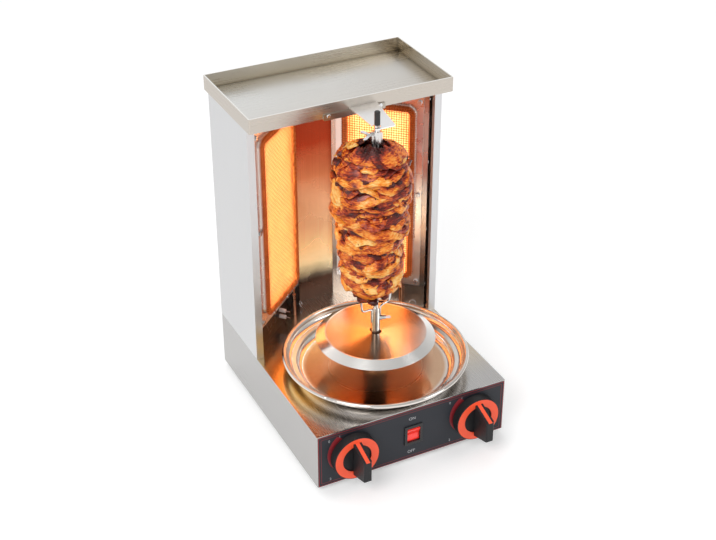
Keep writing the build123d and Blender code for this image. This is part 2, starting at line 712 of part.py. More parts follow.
def skewer_arm():
    """Strip riveted on the tray's lip, folded out into a tongue with a side slot for the rod."""
    front = lip_y - arm_gauge
    top = tray_z + arm_level
    tip_y = axis_y - arm_beyond
    strip = box(-arm_strip_width / 2, arm_strip_width / 2, front, lip_y, strip_low,
                strip_low + arm_strip_height)
    strip = fillet(strip.edges().filter_by(Axis.Y), 1.5)
    tab = box(*arm_root, front, lip_y, strip_low + 1, top)
    tongue = make_face(Polyline((arm_root[0], lip_y), (arm_root[1], lip_y), (arm_tip[1], tip_y),
                                (arm_tip[0], tip_y), close=True))
    tongue = fillet(tongue.vertices().group_by(Axis.Y)[0], 2.0)
    slot = Pos(0, axis_y) * Circle(arm_slot_radius)
    slot += Pos(arm_root[0], axis_y) * Rectangle(-2 * arm_root[0], 2 * arm_slot_radius)
    plate = Pos(0, 0, top - arm_gauge) * extrude(tongue - slot, arm_gauge)
    return cut(strip + tab + plate, holes(RIVETS_ARM, rivet_radius, 4.6))


def rivets():
    """All blind rivets: reflector folds and the arm's strip."""
    made = [rivet(point, direction) for point, direction in RIVETS_MIDDLE]
    made += [rivet(point, direction, arm_gauge + lip_gauge - slack) for point, direction in RIVETS_ARM]
    for side in (-1, 1):
        made += [burner_place(side) * rivet(point, direction, 2.6)
                 for point, direction in edge_rivets(side)]
        made += [burner_place(side) * rivet(point, direction)
                 for point, direction in bottom_rivets(side)]
    return made


def machine_screws():
    """Screws of the back sheets, the walls and the gearbox."""
    spots = BACK_SCREWS + BASE_BACK_SCREWS + WALL_SCREWS + MOTOR_SCREWS
    return [screw(point, direction, 5.0) for point, direction in spots]


# ================= drive =================
seat_z = deck_z + plate_top - plate_gauge        # underside of the turning plate
boss_height = plate_gauge + 0.8
boss_radius = 9.0
boss_flat = 7.0
pin_radius = 1.5
pin_reach = 6.8
socket_z = seat_z + boss_height - socket_depth
shaft_top = socket_z - 6.0


def motor_bracket():
    """Hat-shaped bracket welded under the deck that carries the gear motor."""
    top = deck_z - sheet
    half = motor_radius + 4
    floor = box(-half, half, axis_y - 26, axis_y + 26, bracket_z - bracket_gauge, bracket_z)
    for side in (-1, 1):
        floor += box(side * half, side * (half - bracket_gauge), axis_y - 26, axis_y + 26,
                     bracket_z - bracket_gauge, top)
        floor += box(side * half, side * (half + 12), axis_y - 26, axis_y + 26,
                     top - bracket_gauge, top)
    floor -= rod((0, axis_y, bracket_z - 5), (0, 0, 1), 10, 10)
    return cut(floor, holes(MOTOR_SCREWS, screw_radius))


def gear_motor():
    """Synchronous gear motor: round gearbox with the motor can under it."""
    gearbox = rod((0, axis_y, gearbox_top), (0, 0, -1), motor_radius, gearbox_height)
    gearbox += rod((0, axis_y, gearbox_top - gearbox_height), (0, 0, -1), motor_radius - 4, can_height)
    gearbox += rod((0, axis_y, gearbox_top), (0, 0, 1), 9, bracket_gauge + 1.5)
    gearbox -= rod((0, axis_y, gearbox_top - 12), (0, 0, 1), shaft_radius + fit, 20)
    gearbox += box(-8, 8, axis_y + motor_radius - 5, axis_y + motor_radius + 5,
                   gearbox_top - gearbox_height - 14, gearbox_top - gearbox_height - 2)
    return cut(gearbox, holes(MOTOR_SCREWS, screw_radius, 8.0))


def motor_shaft():
    """Output shaft, up through the deck bush into the hub."""
    bottom = gearbox_top - 12 + slack
    return rod((0, axis_y, bottom), (0, 0, 1), shaft_radius, shaft_top - bottom)


def shaft_bush():
    """Flanged bronze bush in the deck that guides the shaft."""
    bush = rod((0, axis_y, deck_z - sheet - 4), (0, 0, 1), bush_radius, sheet + 7.5)
    bush += rod((0, axis_y, deck_z - sheet - 1.5), (0, 0, 1), bush_radius + 2.5, 1.5)
    return bush - rod((0, axis_y, deck_z - 20), (0, 0, 1), shaft_radius + fit, 40)


def drive_outline():
    """Two-flat outline that turns the plate."""
    return Circle(boss_radius) & Rectangle(2 * boss_flat, 4 * boss_radius)


def drive_hub():
    """Black hub on the shaft: seat and two-flat boss for the plate, socket and slot for the skewer."""
    low = deck_z + 5.0
    hub = rod((0, axis_y, low), (0, 0, 1), hub_radius, seat_z - low)
    hub = fillet(hub.edges().sort_by(Axis.Z)[0], 1.5)
    hub += Pos(0, axis_y, seat_z - 5) * Cone(hub_radius, hub_radius + 2, 5,
                                            align=(Align.CENTER, Align.CENTER, Align.MIN))
    hub += Pos(0, axis_y, seat_z) * extrude(drive_outline(), boss_height)
    hub -= rod((0, axis_y, low - 1), (0, 0, 1), shaft_radius + fit / 2, shaft_top - low + 1 + slack)
    hub -= rod((0, axis_y, socket_z), (0, 0, 1), rod_radius + fit, socket_depth + 5)
    slot = pin_radius + slack
    hub -= box(-boss_radius * 2, boss_radius * 2, axis_y - slot, axis_y + slot,
               seat_z + boss_height - 2 * pin_radius - 0.8, seat_z + boss_height + 5)
    return hub


def turntable_disc():
    """Round turning plate with a sloped rim, driven by the hub's flats."""
    top = plate_gauge
    fall = -plate_drop
    rim = plate_radius
    outline = make_face(Polyline((0, 0), (plate_flat_radius, 0), (rim - 0.6, fall), (rim + 0.6, fall + 0.8),
                                 (plate_flat_radius + 0.6, top), (0, top), close=True))
    disc = revolve(Plane.XZ * outline, Axis.Z)
    keyhole = Circle(boss_radius + slack / 2) & Rectangle(2 * boss_flat + slack, 4 * boss_radius)
    disc -= Pos(0, 0, -1) * extrude(keyhole, plate_gauge + 2)
    return Pos(0, axis_y, seat_z + 0.1) * disc


def pan_line(shift):
    """The pan's floor, lower wall, ledge and upper wall, moved in and up by a shift."""
    step_radius = (pan_floor_radius + pan_radius) / 2
    step_z = pan_height * 0.44
    top = (pan_radius - 2 * pan_roll + 0.6, pan_height - pan_roll)
    spots = [(hub_radius + hub_gap, 0), (pan_floor_radius, 0), (step_radius - 4, step_z),
             (step_radius, step_z + 0.6), top]
    floor_start, floor_end, ledge_start, ledge_end, rim = [(r - shift, z + shift) for r, z in spots]

    def hollow(low, high):
        """A wall that curves up between two heights."""
        return ThreePointArc(low, (low[0] + (high[0] - low[0]) * 0.74, low[1] + (high[1] - low[1]) * 0.3),
                             high)
    return [Line((floor_start[0] + shift, floor_start[1]), floor_end), hollow(floor_end, ledge_start),
            Line(ledge_start, ledge_end), hollow(ledge_end, rim)]


def drip_pan():
    """Round spun pan: flat floor with a low collar round the hub, stepped wall and rolled rim."""
    hole = hub_radius + hub_gap
    outer = pan_line(0)
    inner = pan_line(pan_gauge * 0.8)
    ends = [Line(outer[0] @ 0, inner[0] @ 0), Line(outer[-1] @ 1, inner[-1] @ 1)]
    pan = revolve(Plane.XZ * make_face(outer + inner + ends), Axis.Z)
    pan += Pos(0, 0, pan_height - pan_roll) * Torus(pan_radius - pan_roll, pan_roll)
    collar = rod((0, 0, 0), (0, 0, 1), hole + pan_gauge, pan_collar)
    pan += collar - rod((0, 0, -1), (0, 0, 1), hole, pan_collar + 2)
    return Pos(0, axis_y, deck_z + slack) * pan


# ================= skewer =================
sleeve_low_z = seat_z + boss_height + slack      # lower sleeve's foot, just above the boss
upper_sleeve_z = deck_z + upper_sleeve_top - upper_sleeve
fork_turn = 12.0                # forks stand this far round from the X axis, degrees
fork_reach = 31.0
fork_dip = 48.0
wing_screw_radius = 2.5
sleeve_bolt = 8.0               # wing screw's shank beyond the sleeve's axis


def skewer_rod():
    """Steel rod with a cross pin at its foot that drops into the hub's slot."""
    foot = socket_z + slack
    bar = rod((0, axis_y, foot), (0, 0, 1), rod_radius, deck_z + rod_top - foot)
    bar = chamfer(bar.edges().sort_by(Axis.Z)[-1], 0.8)
    pin_z = seat_z + boss_height - pin_radius - 0.3
    return bar + rod((-pin_reach, axis_y, pin_z), (1, 0, 0), pin_radius, 2 * pin_reach)


def tine_path(side, down):
    """Route of one tine from the sleeve, out, and into the meat, in the fork's own frame."""
    start_x = sleeve_radius + tine_radius - 0.4
    sign = -1 if down else 1
    return [(side * start_x, 0, 0), (side * start_x, 0, sign * 22),
            (side * (fork_reach - 6), 0, sign * 24), (side * fork_reach, 0, sign * (24 + fork_dip))]


def tines(down, extra=0.0):
    """Both tines of a fork, with room added round them when they serve as drills."""
    made = []
    for side in (-1, 1):
        made.append(pipe(tine_path(side, down), [5.0, 6.0], tine_radius + extra))
    return made


def fork_place(down):
    """Frame of a fork: its tines start a little way along the sleeve."""
    z = upper_sleeve_z + upper_sleeve - 4 if down else sleeve_low_z + lower_sleeve * 0.42
    return Location((0, axis_y, z), (0, 0, fork_turn))


def wing_direction(down):
    """Which way a fork's wing screw points."""
    turn = radians(168 if down else -22)
    return (cos(turn), sin(turn), 0)


def wing_spot(down):
    """Where the wing screw's axis meets the rod."""
    z = upper_sleeve_z + upper_sleeve - 5 if down else sleeve_low_z + lower_sleeve * 0.55
    return (0, axis_y, z)


def fork(down):
    """Sleeve on the rod with two bent tines welded on and a threaded boss for the wing screw."""
    low, length = (upper_sleeve_z, upper_sleeve) if down else (sleeve_low_z, lower_sleeve)
    body = rod((0, axis_y, low), (0, 0, 1), sleeve_radius, length)
    body += rod(wing_spot(down), wing_direction(down), wing_screw_radius + 2, sleeve_radius + 3)
    for tine in tines(down):
        body += fork_place(down) * tine
    body -= rod((0, axis_y, low - 60), (0, 0, 1), rod_radius + fit, length + 120)
    return body - rod(wing_spot(down), wing_direction(down), wing_screw_radius + fit, 40)


def wing_screw(down):
    """Thumb screw with two wings that clamps a fork on the rod."""
    out = sleeve_radius + 3.6
    start = rod_radius + slack
    shank = rod((0, 0, start), (0, 0, 1), wing_screw_radius, out - start + 5)
    neck = rod((0, 0, out), (0, 0, 1), 3.4, 5)
    screw_body = shank + neck
    for side in (-1, 1):
        wing = make_face(Polyline((side * 1.5, out + 0.4), (side * 2.8, out + 0.4), (side * 8.5, out + 6.5),
                                  (side * 9.5, out + 10.5), (side * 7.2, out + 11.5), (side * 1.5, out + 5),
                                  close=True))
        screw_body += extrude(Plane.XZ * wing, 1.1, both=True)
    turn = 72.0 if down else 62.0
    base = Plane(origin=wing_spot(down), z_dir=wing_direction(down), x_dir=(0, 0, 1))
    return base.location * (Rot(0, 0, turn) * screw_body)


# The meat: stacked slices, wider at the top, set a little off the rod's axis
meat_offset = (-7.0, 2.0)
meat_layers = 9
meat_low_share = 0.66           # radius at the foot, as a share of the largest
layer_bulge = 3.2


def meat_stack():
    """Stack of roasted slices: nine bulging layers, rounded at top and foot, on the rod and tines."""
    z0 = deck_z + meat_low
    step = meat_height / meat_layers
    radii = []
    for index in range(meat_layers + 1):
        share = index / meat_layers
        swell = meat_low_share + (1 - meat_low_share) * sin(pi / 2 * min(1.0, share / 0.78))
        radii.append(meat_radius * swell - layer_bulge)
    radii[0] = meat_radius * 0.42
    radii[-1] = meat_radius * 0.52
    radii[-2] = meat_radius * 0.90
    lines = [Line((0, z0), (radii[0], z0))]
    for index in range(meat_layers):
        low = (radii[index], z0 + index * step)
        high = (radii[index + 1], z0 + (index + 1) * step)
        across = (high[1] - low[1], low[0] - high[0])
        size = hypot(*across)
        bulge = layer_bulge if 0 < index < meat_layers - 1 else layer_bulge * 1.8
        middle = ((low[0] + high[0]) / 2 + across[0] / size * bulge,
                  (low[1] + high[1]) / 2 + across[1] / size * bulge)
        lines.append(ThreePointArc(low, middle, high))
    top = z0 + meat_height
    lines += [Line((radii[-1], top), (0, top)), Line((0, top), (0, z0))]
    meat = revolve(Plane.XZ * make_face(lines), Axis.Z)
    meat = Pos(meat_offset[0], axis_y + meat_offset[1], 0) * meat
    meat -= rod((0, axis_y, z0 - 20), (0, 0, 1), rod_radius + 0.1, meat_height + 40)
    meat -= rod((0, axis_y, upper_sleeve_z - 0.1), (0, 0, 1), sleeve_radius + 0.1, 60)
    for down in (False, True):
        for tine in tines(down, 0.1):
            meat -= fork_place(down) * tine
    return meat


# ================= switch and wiring =================
rocker_radius = 40.0
pivot_y = skin_y + 7.0
rocker_width = switch_well_w - 4.0
rocker_height = switch_well_h - 5.0
rocker_room = 1.1               # above and below the rocker, for its tilt
pivot_radius = 1.5
bezel_stand = 2.2
clip_gap = 0.2                  # switch body to the window in the panel
tab_spread = 10.0               # between the switch's tabs
tab_y = front_y + 32.0          # rear ends of the tabs


def switch_housing():
    """Black snap-in body with a bezel on the overlay and a well for the rocker."""
    bezel = box(-switch_width / 2, switch_width / 2, skin_y - bezel_stand, skin_y,
                switch_z - switch_height / 2, switch_z + switch_height / 2)
    bezel = fillet(bezel.edges().filter_by(Axis.Y), 1.5)
    bezel = fillet(bezel.faces().sort_by(Axis.Y)[0].edges(), 0.8)
    body_half_w = switch_well_w / 2 - clip_gap
    body_half_h = switch_well_h / 2 - clip_gap
    body = box(-body_half_w, body_half_w, skin_y - 1, tab_y - 8, switch_z - body_half_h,
               switch_z + body_half_h)
    room = rocker_height / 2 + rocker_room
    well = box(-rocker_width / 2 - slack, rocker_width / 2 + slack, skin_y - 4, skin_y + 16,
               switch_z - room, switch_z + room)
    shell = bezel + body - well
    for z in (-tab_spread, 0, tab_spread):
        shell += box(-3, 3, tab_y - 9, tab_y, switch_z + z - 0.4, switch_z + z + 0.4)
    return shell + rod((-rocker_width / 2 - 0.8, pivot_y, switch_z), (1, 0, 0), pivot_radius,
                       rocker_width + 1.6)


def switch_rocker():
    """Red rocker: a shallow V face with its upper half out, on the housing's pivot pin."""
    half = rocker_height / 2
    face = make_face(Polyline((-5.2, 0), (-7.6, half - 0.4), (-6.0, half), (4.0, half - 2.5),
                              (6.0, 0), (4.0, -half + 2.5), (-6.0, -half), (-7.6, -half + 0.4),
                              close=True))
    body = extrude(Plane.YZ * face, rocker_width / 2, both=True)
    body -= rod((-rocker_width, 0, 0), (1, 0, 0), pivot_radius + fit, 2 * rocker_width)
    return Pos(0, pivot_y, switch_z) * (Rot(rocker_tilt, 0, 0) * body)


gland_bore = 3.6
gland_hexagon = gland_radius + 4.0


def cable_gland():
    """Cable gland in the base's back: nut inside, hexagon and dome outside, open bore."""
    place = Plane(origin=(GLAND[0], back_y, GLAND[1]), x_dir=(1, 0, 0), z_dir=(0, 1, 0))
    body = rod((0, 0, -sheet - 8), (0, 0, 1), gland_radius, sheet + 10)
    body += Pos(0, 0, -sheet - 5) * extrude(RegularPolygon(gland_hexagon, 6), 5)
    body += extrude(RegularPolygon(gland_hexagon, 6), 5)
    dome = rod((0, 0, 5), (0, 0, 1), gland_radius + 1, 11)
    body += fillet(dome.edges().sort_by(Axis.Z)[-1], 4.0)
    body -= rod((0, 0, -20), (0, 0, 1), gland_bore, 60)
    return place * body


block_x = GLAND[0] + 26.0       # middle of the terminal block
block_y = back_y - 48.0
block_z = foot_height + sheet
block_half_depth = 9.0
terminal_pitch = 10.0
terminal_level = 5.0            # block's foot to its wire holes
terminal_radius = 2.0
clamp_radius = 2.6
wire_radius = 1.5


def terminal_block():
    """Three-way terminal block that stands on the bottom plate near the back."""
    half = 1.7 * terminal_pitch
    block = box(block_x - half, block_x + half, block_y - block_half_depth,
                block_y + block_half_depth, block_z, block_z + 14)
    tools = []
    for index in (-1, 0, 1):
        x = block_x + index * terminal_pitch
        tools.append(rod((x, block_y, block_z + 6), (0, 0, 1), clamp_radius, 20))
        tools.append(rod((x, block_y - 20, block_z + terminal_level), (0, 1, 0), terminal_radius, 40))
    return cut(block, tools)


def mains_wires():
    """Inside wires along the bottom sheet: terminal block to the switch, and to the motor."""
    y = block_y - block_half_depth
    z = block_z + terminal_level
    wires = []
    for index in (-1, 0):
        start = (block_x + index * terminal_pitch, y, z)
        end_x = index * 5.0
        end_z = switch_z + index * tab_spread
        wires.append(pipe([start, (start[0], y - 60, z), (end_x - 25, tab_y + 60, z),
                           (end_x, tab_y + 20, z + 12), (end_x, tab_y + 9, end_z),
                           (end_x, tab_y, end_z)], [30.0, 30.0, 12.0, 6.0], wire_radius))
    motor_y = axis_y + motor_radius + 5
    motor_z = gearbox_top - gearbox_height - 8
    motor_x = block_x + terminal_pitch
    wires.append(pipe([(motor_x, y, z), (motor_x, y - 20, z), (0, motor_y + 40, z + 12),
                       (0, motor_y + 14, motor_z), (0, motor_y, motor_z)], [14.0, 18.0, 12.0],
                      wire_radius))
    return wires


PIECES = {
    "mains_wires": mains_wires,
    "base_housing": base_housing,
    "base_back": base_back,
    "bottom_plate": bottom_plate,
    "rubber_feet": rubber_feet,
    "foot_screws": foot_screws,
    "control_panel": control_panel,
    "panel_overlay": panel_overlay,
    "gas_valves": gas_valves,
    "gas_manifold": gas_manifold,
    "gas_inlet": gas_inlet,
    "supply_tubes": supply_tubes,
    "injectors": injectors,
    "burner_screws": burner_screws,
    "electrode_ceramics": electrode_ceramics,
    "electrode_wires": electrode_wires,
    "thermocouples": thermocouples,
    "rear_cover": rear_cover,
    "middle_reflector": middle_reflector,
    "top_tray": top_tray,
    "skewer_arm": skewer_arm,
    "rivets": rivets,
    "machine_screws": machine_screws,
    "motor_bracket": motor_bracket,
    "gear_motor": gear_motor,
    "motor_shaft": motor_shaft,
    "shaft_bush": shaft_bush,
    "drive_hub": drive_hub,
    "turntable_disc": turntable_disc,
    "drip_pan": drip_pan,
    "skewer_rod": skewer_rod,
    "meat_stack": meat_stack,
    "switch_housing": switch_housing,
    "switch_rocker": switch_rocker,
    "cable_gland": cable_gland,
    "terminal_block": terminal_block,
}
SIDE_PIECES = {
    "wall": cabinet_wall,
    "reflector": angled_reflector,
    "burner_housing": burner_housing,
    "burner_tiles": burner_tiles,
    "burner_mesh": burner_mesh,
    "burner_frame": burner_frame,
    "valve_stem": valve_stem,
    "spring_cup": spring_cup,
    "knob": knob,
    "knob_ring": knob_ring,
}


def write(name, made):
    """Write one node's STEP file, as one solid or as a group of solids."""
    if isinstance(made, list):
        made = Compound(children=[Compound(item.wrapped) for item in made])
    export_step(made, "parts/" + name + ".step")


os.makedirs("parts", exist_ok=True)
for name, build in PIECES.items():
    write(name, build())
for name, build in SIDE_PIECES.items():
    for side_name, side in SIDES.items():
        write(side_name + "_" + name, build(side))
for name, down in (("upper", True), ("lower", False)):
    write(name + "_fork", fork(down))
    write(name + "_wing_screw", wing_screw(down))
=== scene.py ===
import math
import random

import bpy
import numpy as np
from mathutils import Matrix, Vector, noise


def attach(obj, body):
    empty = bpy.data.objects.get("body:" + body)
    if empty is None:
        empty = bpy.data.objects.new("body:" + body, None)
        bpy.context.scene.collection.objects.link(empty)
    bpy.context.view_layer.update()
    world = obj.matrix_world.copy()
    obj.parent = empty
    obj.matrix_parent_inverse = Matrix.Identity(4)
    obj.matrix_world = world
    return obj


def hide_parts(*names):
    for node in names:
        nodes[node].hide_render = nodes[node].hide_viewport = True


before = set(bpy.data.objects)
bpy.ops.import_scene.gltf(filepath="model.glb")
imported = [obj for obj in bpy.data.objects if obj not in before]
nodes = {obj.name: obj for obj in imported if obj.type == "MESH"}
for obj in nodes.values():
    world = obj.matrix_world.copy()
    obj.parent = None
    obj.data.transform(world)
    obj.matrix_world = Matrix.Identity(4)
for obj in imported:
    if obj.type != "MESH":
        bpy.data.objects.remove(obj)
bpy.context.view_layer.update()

# ---------------------------------------------------------------- camera
# Long lens from the front left and above, at the photograph's angle, with no shift.
target = Vector((-0.0005, 0.0, 0.2282))
turn, lift = math.radians(-26.67), math.radians(31.81)
towards = Vector((math.sin(turn) * math.cos(lift), -math.cos(turn) * math.cos(lift), math.sin(lift)))
lens = bpy.data.cameras.new("camera")
lens.lens, lens.sensor_width = 69.75, 36.0
distance = 2.007
camera = bpy.data.objects.new("camera", lens)
camera.location = target + towards * distance
camera.rotation_euler = towards.to_track_quat("Z", "Y").to_euler()
bpy.context.scene.collection.objects.link(camera)
bpy.context.scene.camera = camera
bpy.context.scene.view_settings.view_transform = "Standard"


# ---------------------------------------------------------------- studio
# Plain white floor under an evenly bright room, with a wide soft lamp from the left, a weaker one
# from the right and a faint one from above.
def feed(tree, made, inputs):
    """Fill a node's inputs by name: a socket is linked and a plain value is stored."""
    for key, value in inputs.items():
        if isinstance(value, bpy.types.NodeSocket):
            tree.links.new(value, made.inputs[key])
        else:
            made.inputs[key].default_value = value
    return made


def add(tree, kind, inputs=None, **settings):
    """Add one shader node with its settings and its inputs."""
    made = tree.nodes.new("ShaderNode" + kind)
    for key, value in settings.items():
        setattr(made, key, value)
    return feed(tree, made, inputs or {})


def maths(tree, operation, first, second=0.0, third=0.0):
    """One Math node, as its output socket."""
    made = add(tree, "Math", operation=operation)
    for index, value in enumerate((first, second, third)):
        feed(tree, made, {index: value})
    return made.outputs[0]


def spread(tree, value, low, high, first=0.0, last=1.0, smooth=False):
    """Lay a value that runs from low to high out from first to last, and hold it at both ends."""
    return add(tree, "MapRange", {"Value": value, "From Min": low, "From Max": high, "To Min": first,
                                  "To Max": last},
               interpolation_type="SMOOTHSTEP" if smooth else "LINEAR").outputs[0]


def seen_background(tree):
    """1 where the camera, a reflection or clear plastic looks at the background."""
    path = add(tree, "LightPath")
    both = maths(tree, "MAXIMUM", path.outputs["Is Camera Ray"], path.outputs["Is Glossy Ray"])
    return maths(tree, "MAXIMUM", both, path.outputs["Is Transmission Ray"])


world = bpy.data.worlds.new("studio")
bpy.context.scene.world = world
world.use_nodes = True
tree = world.node_tree
room = tree.nodes["Background"]
outward = add(tree, "SeparateXYZ", {0: add(tree, "TexCoord").outputs["Generated"]}).outputs
# The room is a little darker overhead and to the right, and brighter behind
low_level, high_level, right_loss, back_gain = 0.76, 0.60, -0.16, 0.34
level = spread(tree, outward["Z"], 0.0, 0.8, low_level, high_level)
level = maths(tree, "MULTIPLY_ADD", outward["X"], right_loss, level)
level = maths(tree, "MULTIPLY_ADD", maths(tree, "MAXIMUM", outward["Y"], 0.0), back_gain, level)
feed(tree, room, {"Color": (1.0, 1.0, 1.0, 1.0), "Strength": level})

reach_out = 9
floor_mesh = bpy.data.meshes.new("floor")
floor_mesh.from_pydata([(x * reach_out, y * reach_out, 0) for x, y in ((-1, -1), (1, -1), (1, 1), (-1, 1))],
                       [], [(0, 1, 2, 3)])
floor = bpy.data.objects.new("floor", floor_mesh)
bpy.context.scene.collection.objects.link(floor)
floor_white = bpy.data.materials.new("floor white")
floor_white.use_nodes = True
tree = floor_white.node_tree
feed(tree, tree.nodes["Principled BSDF"], {
    "Base Color": (0.93, 0.93, 0.93, 1), "Roughness": 0.9, "Specular IOR Level": 0.0,
    "Emission Color": (1, 1, 1, 1),
    "Emission Strength": maths(tree, "MULTIPLY", seen_background(tree), 0.22)})
floor_mesh.materials.append(floor_white)

lamp_aim = Vector((0, 0, 0.2))
for name, place, size, power in (("left lamp", (-1.9, -1.5, 2.3), 1.6, 34.0),
                                 ("right lamp", (2.0, -1.9, 1.9), 1.4, 15.0),
                                 ("top lamp", (0.1, 0.5, 2.9), 1.8, 6.0)):
    lamp = bpy.data.lights.new(name, "AREA")
    lamp.shape, lamp.size, lamp.energy = "DISK", size, power
    lamp_object = bpy.data.objects.new(name, lamp)
    lamp_object.location = place
    lamp_object.rotation_euler = (Vector(place) - lamp_aim).to_track_quat("Z", "Y").to_euler()
    bpy.context.scene.collection.objects.link(lamp_object)


# ---------------------------------------------------------------- housing sheets
# Base box, cabinet walls, backs and brackets: 1 mm stainless sheet, belt-brushed along its length
# before it is folded.
def shader_group(name, inputs, outputs):
    """An empty shader group with its sockets."""
    group = bpy.data.node_groups.new(name, "ShaderNodeTree")
    for label, kind, value in inputs:
        socket = group.interface.new_socket(label, in_out="INPUT", socket_type="NodeSocket" + kind)
        socket.default_value = value
    for label, kind in outputs:
        group.interface.new_socket(label, in_out="OUTPUT", socket_type="NodeSocket" + kind)
    return group, group.nodes.new("NodeGroupInput").outputs, group.nodes.new("NodeGroupOutput")


def use_group(tree, group, inputs):
    """Place a shader group in a material, and give back its outputs."""
    made = tree.nodes.new("ShaderNodeGroup")
    made.node_tree = group
    return feed(tree, made, inputs).outputs


def start_material(name):
    """A new node material: itself, its tree and its main shader."""
    made = bpy.data.materials.new(name)
    made.use_nodes = True
    return made, made.node_tree, made.node_tree.nodes["Principled BSDF"]


def dress(material, *names):
    """Give CAD pieces their finish."""
    for piece in names:
        for slot in nodes[piece].material_slots:
            slot.material = material


def spot_on(tree):
    """Place on the piece, as X, Y and Z."""
    return add(tree, "SeparateXYZ", {0: add(tree, "TexCoord").outputs["Object"]}).outputs


def face_way(tree):
    """Direction that the surface faces, as X, Y and Z."""
    return add(tree, "SeparateXYZ", {0: add(tree, "NewGeometry").outputs["Normal"]}).outputs


def blend(tree, share, first, second):
    """A colour between two others, each a plain colour or a socket."""
    first, second = ((*end, 1) if isinstance(end, tuple) else end for end in (first, second))
    return add(tree, "Mix", {0: share, 6: first, 7: second}, data_type="RGBA").outputs[2]


def times(tree, first, second):
    """Two places or colours multiplied part by part."""
    return add(tree, "VectorMath", {0: first, 1: second}, operation="MULTIPLY").outputs[0]


def relief(tree, height, strength, distance):
    """Surface direction over a fine height."""
    return add(tree, "Bump", {"Height": height, "Strength": strength, "Distance": distance}).outputs[0]


def bare_colour(shader):
    """The colour that runs into a main shader before more is laid over it."""
    return shader.inputs["Base Color"].links[0].from_socket


# Brush lines: scratches stretched along one direction, with broad clouds where hands and cloths pass
brushing, asked, given = shader_group(
    "brush lines", [("Stretch", "Vector", (6.0, 900.0, 900.0)), ("Clouds", "Float", 7.0)],
    [("Lines", "Float"), ("Cloud", "Float")])
spot = add(brushing, "TexCoord").outputs["Object"]
drawn = times(brushing, spot, asked["Stretch"])
lines = add(brushing, "TexNoise", {"Vector": drawn, "Scale": 1.0, "Detail": 4.0, "Roughness": 0.62})
cloud = add(brushing, "TexNoise", {"Vector": spot, "Scale": asked["Clouds"], "Detail": 3.0})
feed(brushing, given, {"Lines": lines.outputs[0], "Cloud": cloud.outputs[0]})


def brushed_steel(name, stretch, dark, light, rough, bump=0.05, anisotropic=0.3, end_stretch=None):
    """Brushed stainless sheet with its grain along one direction, and another on its folded ends."""
    made, tree, shader = start_material(name)
    if end_stretch:
        facing = face_way(tree)["X"]
        ends = maths(tree, "GREATER_THAN", maths(tree, "ABSOLUTE", facing), 0.5)
        stretch = add(tree, "Mix", {0: ends, 4: stretch, 5: end_stretch}, data_type="VECTOR").outputs[1]
    grain = use_group(tree, brushing, {"Stretch": stretch})
    tone = maths(tree, "MULTIPLY_ADD", grain["Cloud"], 0.55, maths(tree, "MULTIPLY", grain["Lines"], 0.45))
    feed(tree, shader, {
        "Base Color": blend(tree, tone, dark, light), "Metallic": 1.0, "Anisotropic": anisotropic,
        "Roughness": spread(tree, tone, 0.3, 0.7, rough - 0.06, rough + 0.07),
        "Normal": relief(tree, grain["Lines"], bump, 0.0006)})
    return made


steel_upright = brushed_steel("brushed steel upright", (700.0, 700.0, 6.0), (0.55, 0.55, 0.555),
                              (0.69, 0.69, 0.695), 0.34)
level_sheet = (700.0, 5.0, 700.0), (0.44, 0.43, 0.42), (0.58, 0.57, 0.56), 0.24
steel_level = brushed_steel("brushed steel level", *level_sheet)
dress(steel_upright, "left_wall", "right_wall", "rear_cover", "base_back")
dress(steel_level, "bottom_plate", "control_panel", "motor_bracket")

# The base housing is a little duller than the walls. Its deck carries a painted straw-orange reflection of
# the burners' glow on both sides of the pan, more so on the left, and its folded sides are painted darker
# as shade.
base_steel = brushed_steel("brushed steel base", *level_sheet, 0.03)
tree = base_steel.node_tree
shader = tree.nodes["Principled BSDF"]
spot = spot_on(tree)
facing = face_way(tree)
sideways = maths(tree, "ABSOLUTE", spot["X"])
# painted reflection of the burners' glow on the deck
painted_glow_on_deck = spread(tree, sideways, 0.085, 0.125, smooth=True)
glow_reflection_y = -0.035
from_glow_reflection = maths(tree, "ABSOLUTE", maths(tree, "ADD", spot["Y"], -glow_reflection_y))
painted_glow_on_deck = maths(tree, "MULTIPLY", painted_glow_on_deck, spread(tree, from_glow_reflection, 0.03, 0.12, 1.0, 0.0, smooth=True))
painted_glow_on_deck = maths(tree, "MULTIPLY", painted_glow_on_deck, maths(tree, "GREATER_THAN", facing["Z"], 0.5))
painted_glow_on_deck = maths(tree, "MULTIPLY", painted_glow_on_deck, spread(tree, spot["X"], -0.1, 0.1, 0.95, 0.25))
toned = blend(tree, painted_glow_on_deck, bare_colour(shader), (1.0, 0.70, 0.30))
# painted shade: the sideways faces of the same sheet are darker than its deck
on_side = maths(tree, "GREATER_THAN", maths(tree, "ABSOLUTE", facing["X"]), 0.5)
painted_side_shade = blend(tree, on_side, (1, 1, 1), (0.87, 0.87, 0.87))
feed(tree, shader, {"Base Color": times(tree, toned, painted_side_shade)})
dress(base_steel, "base_housing")

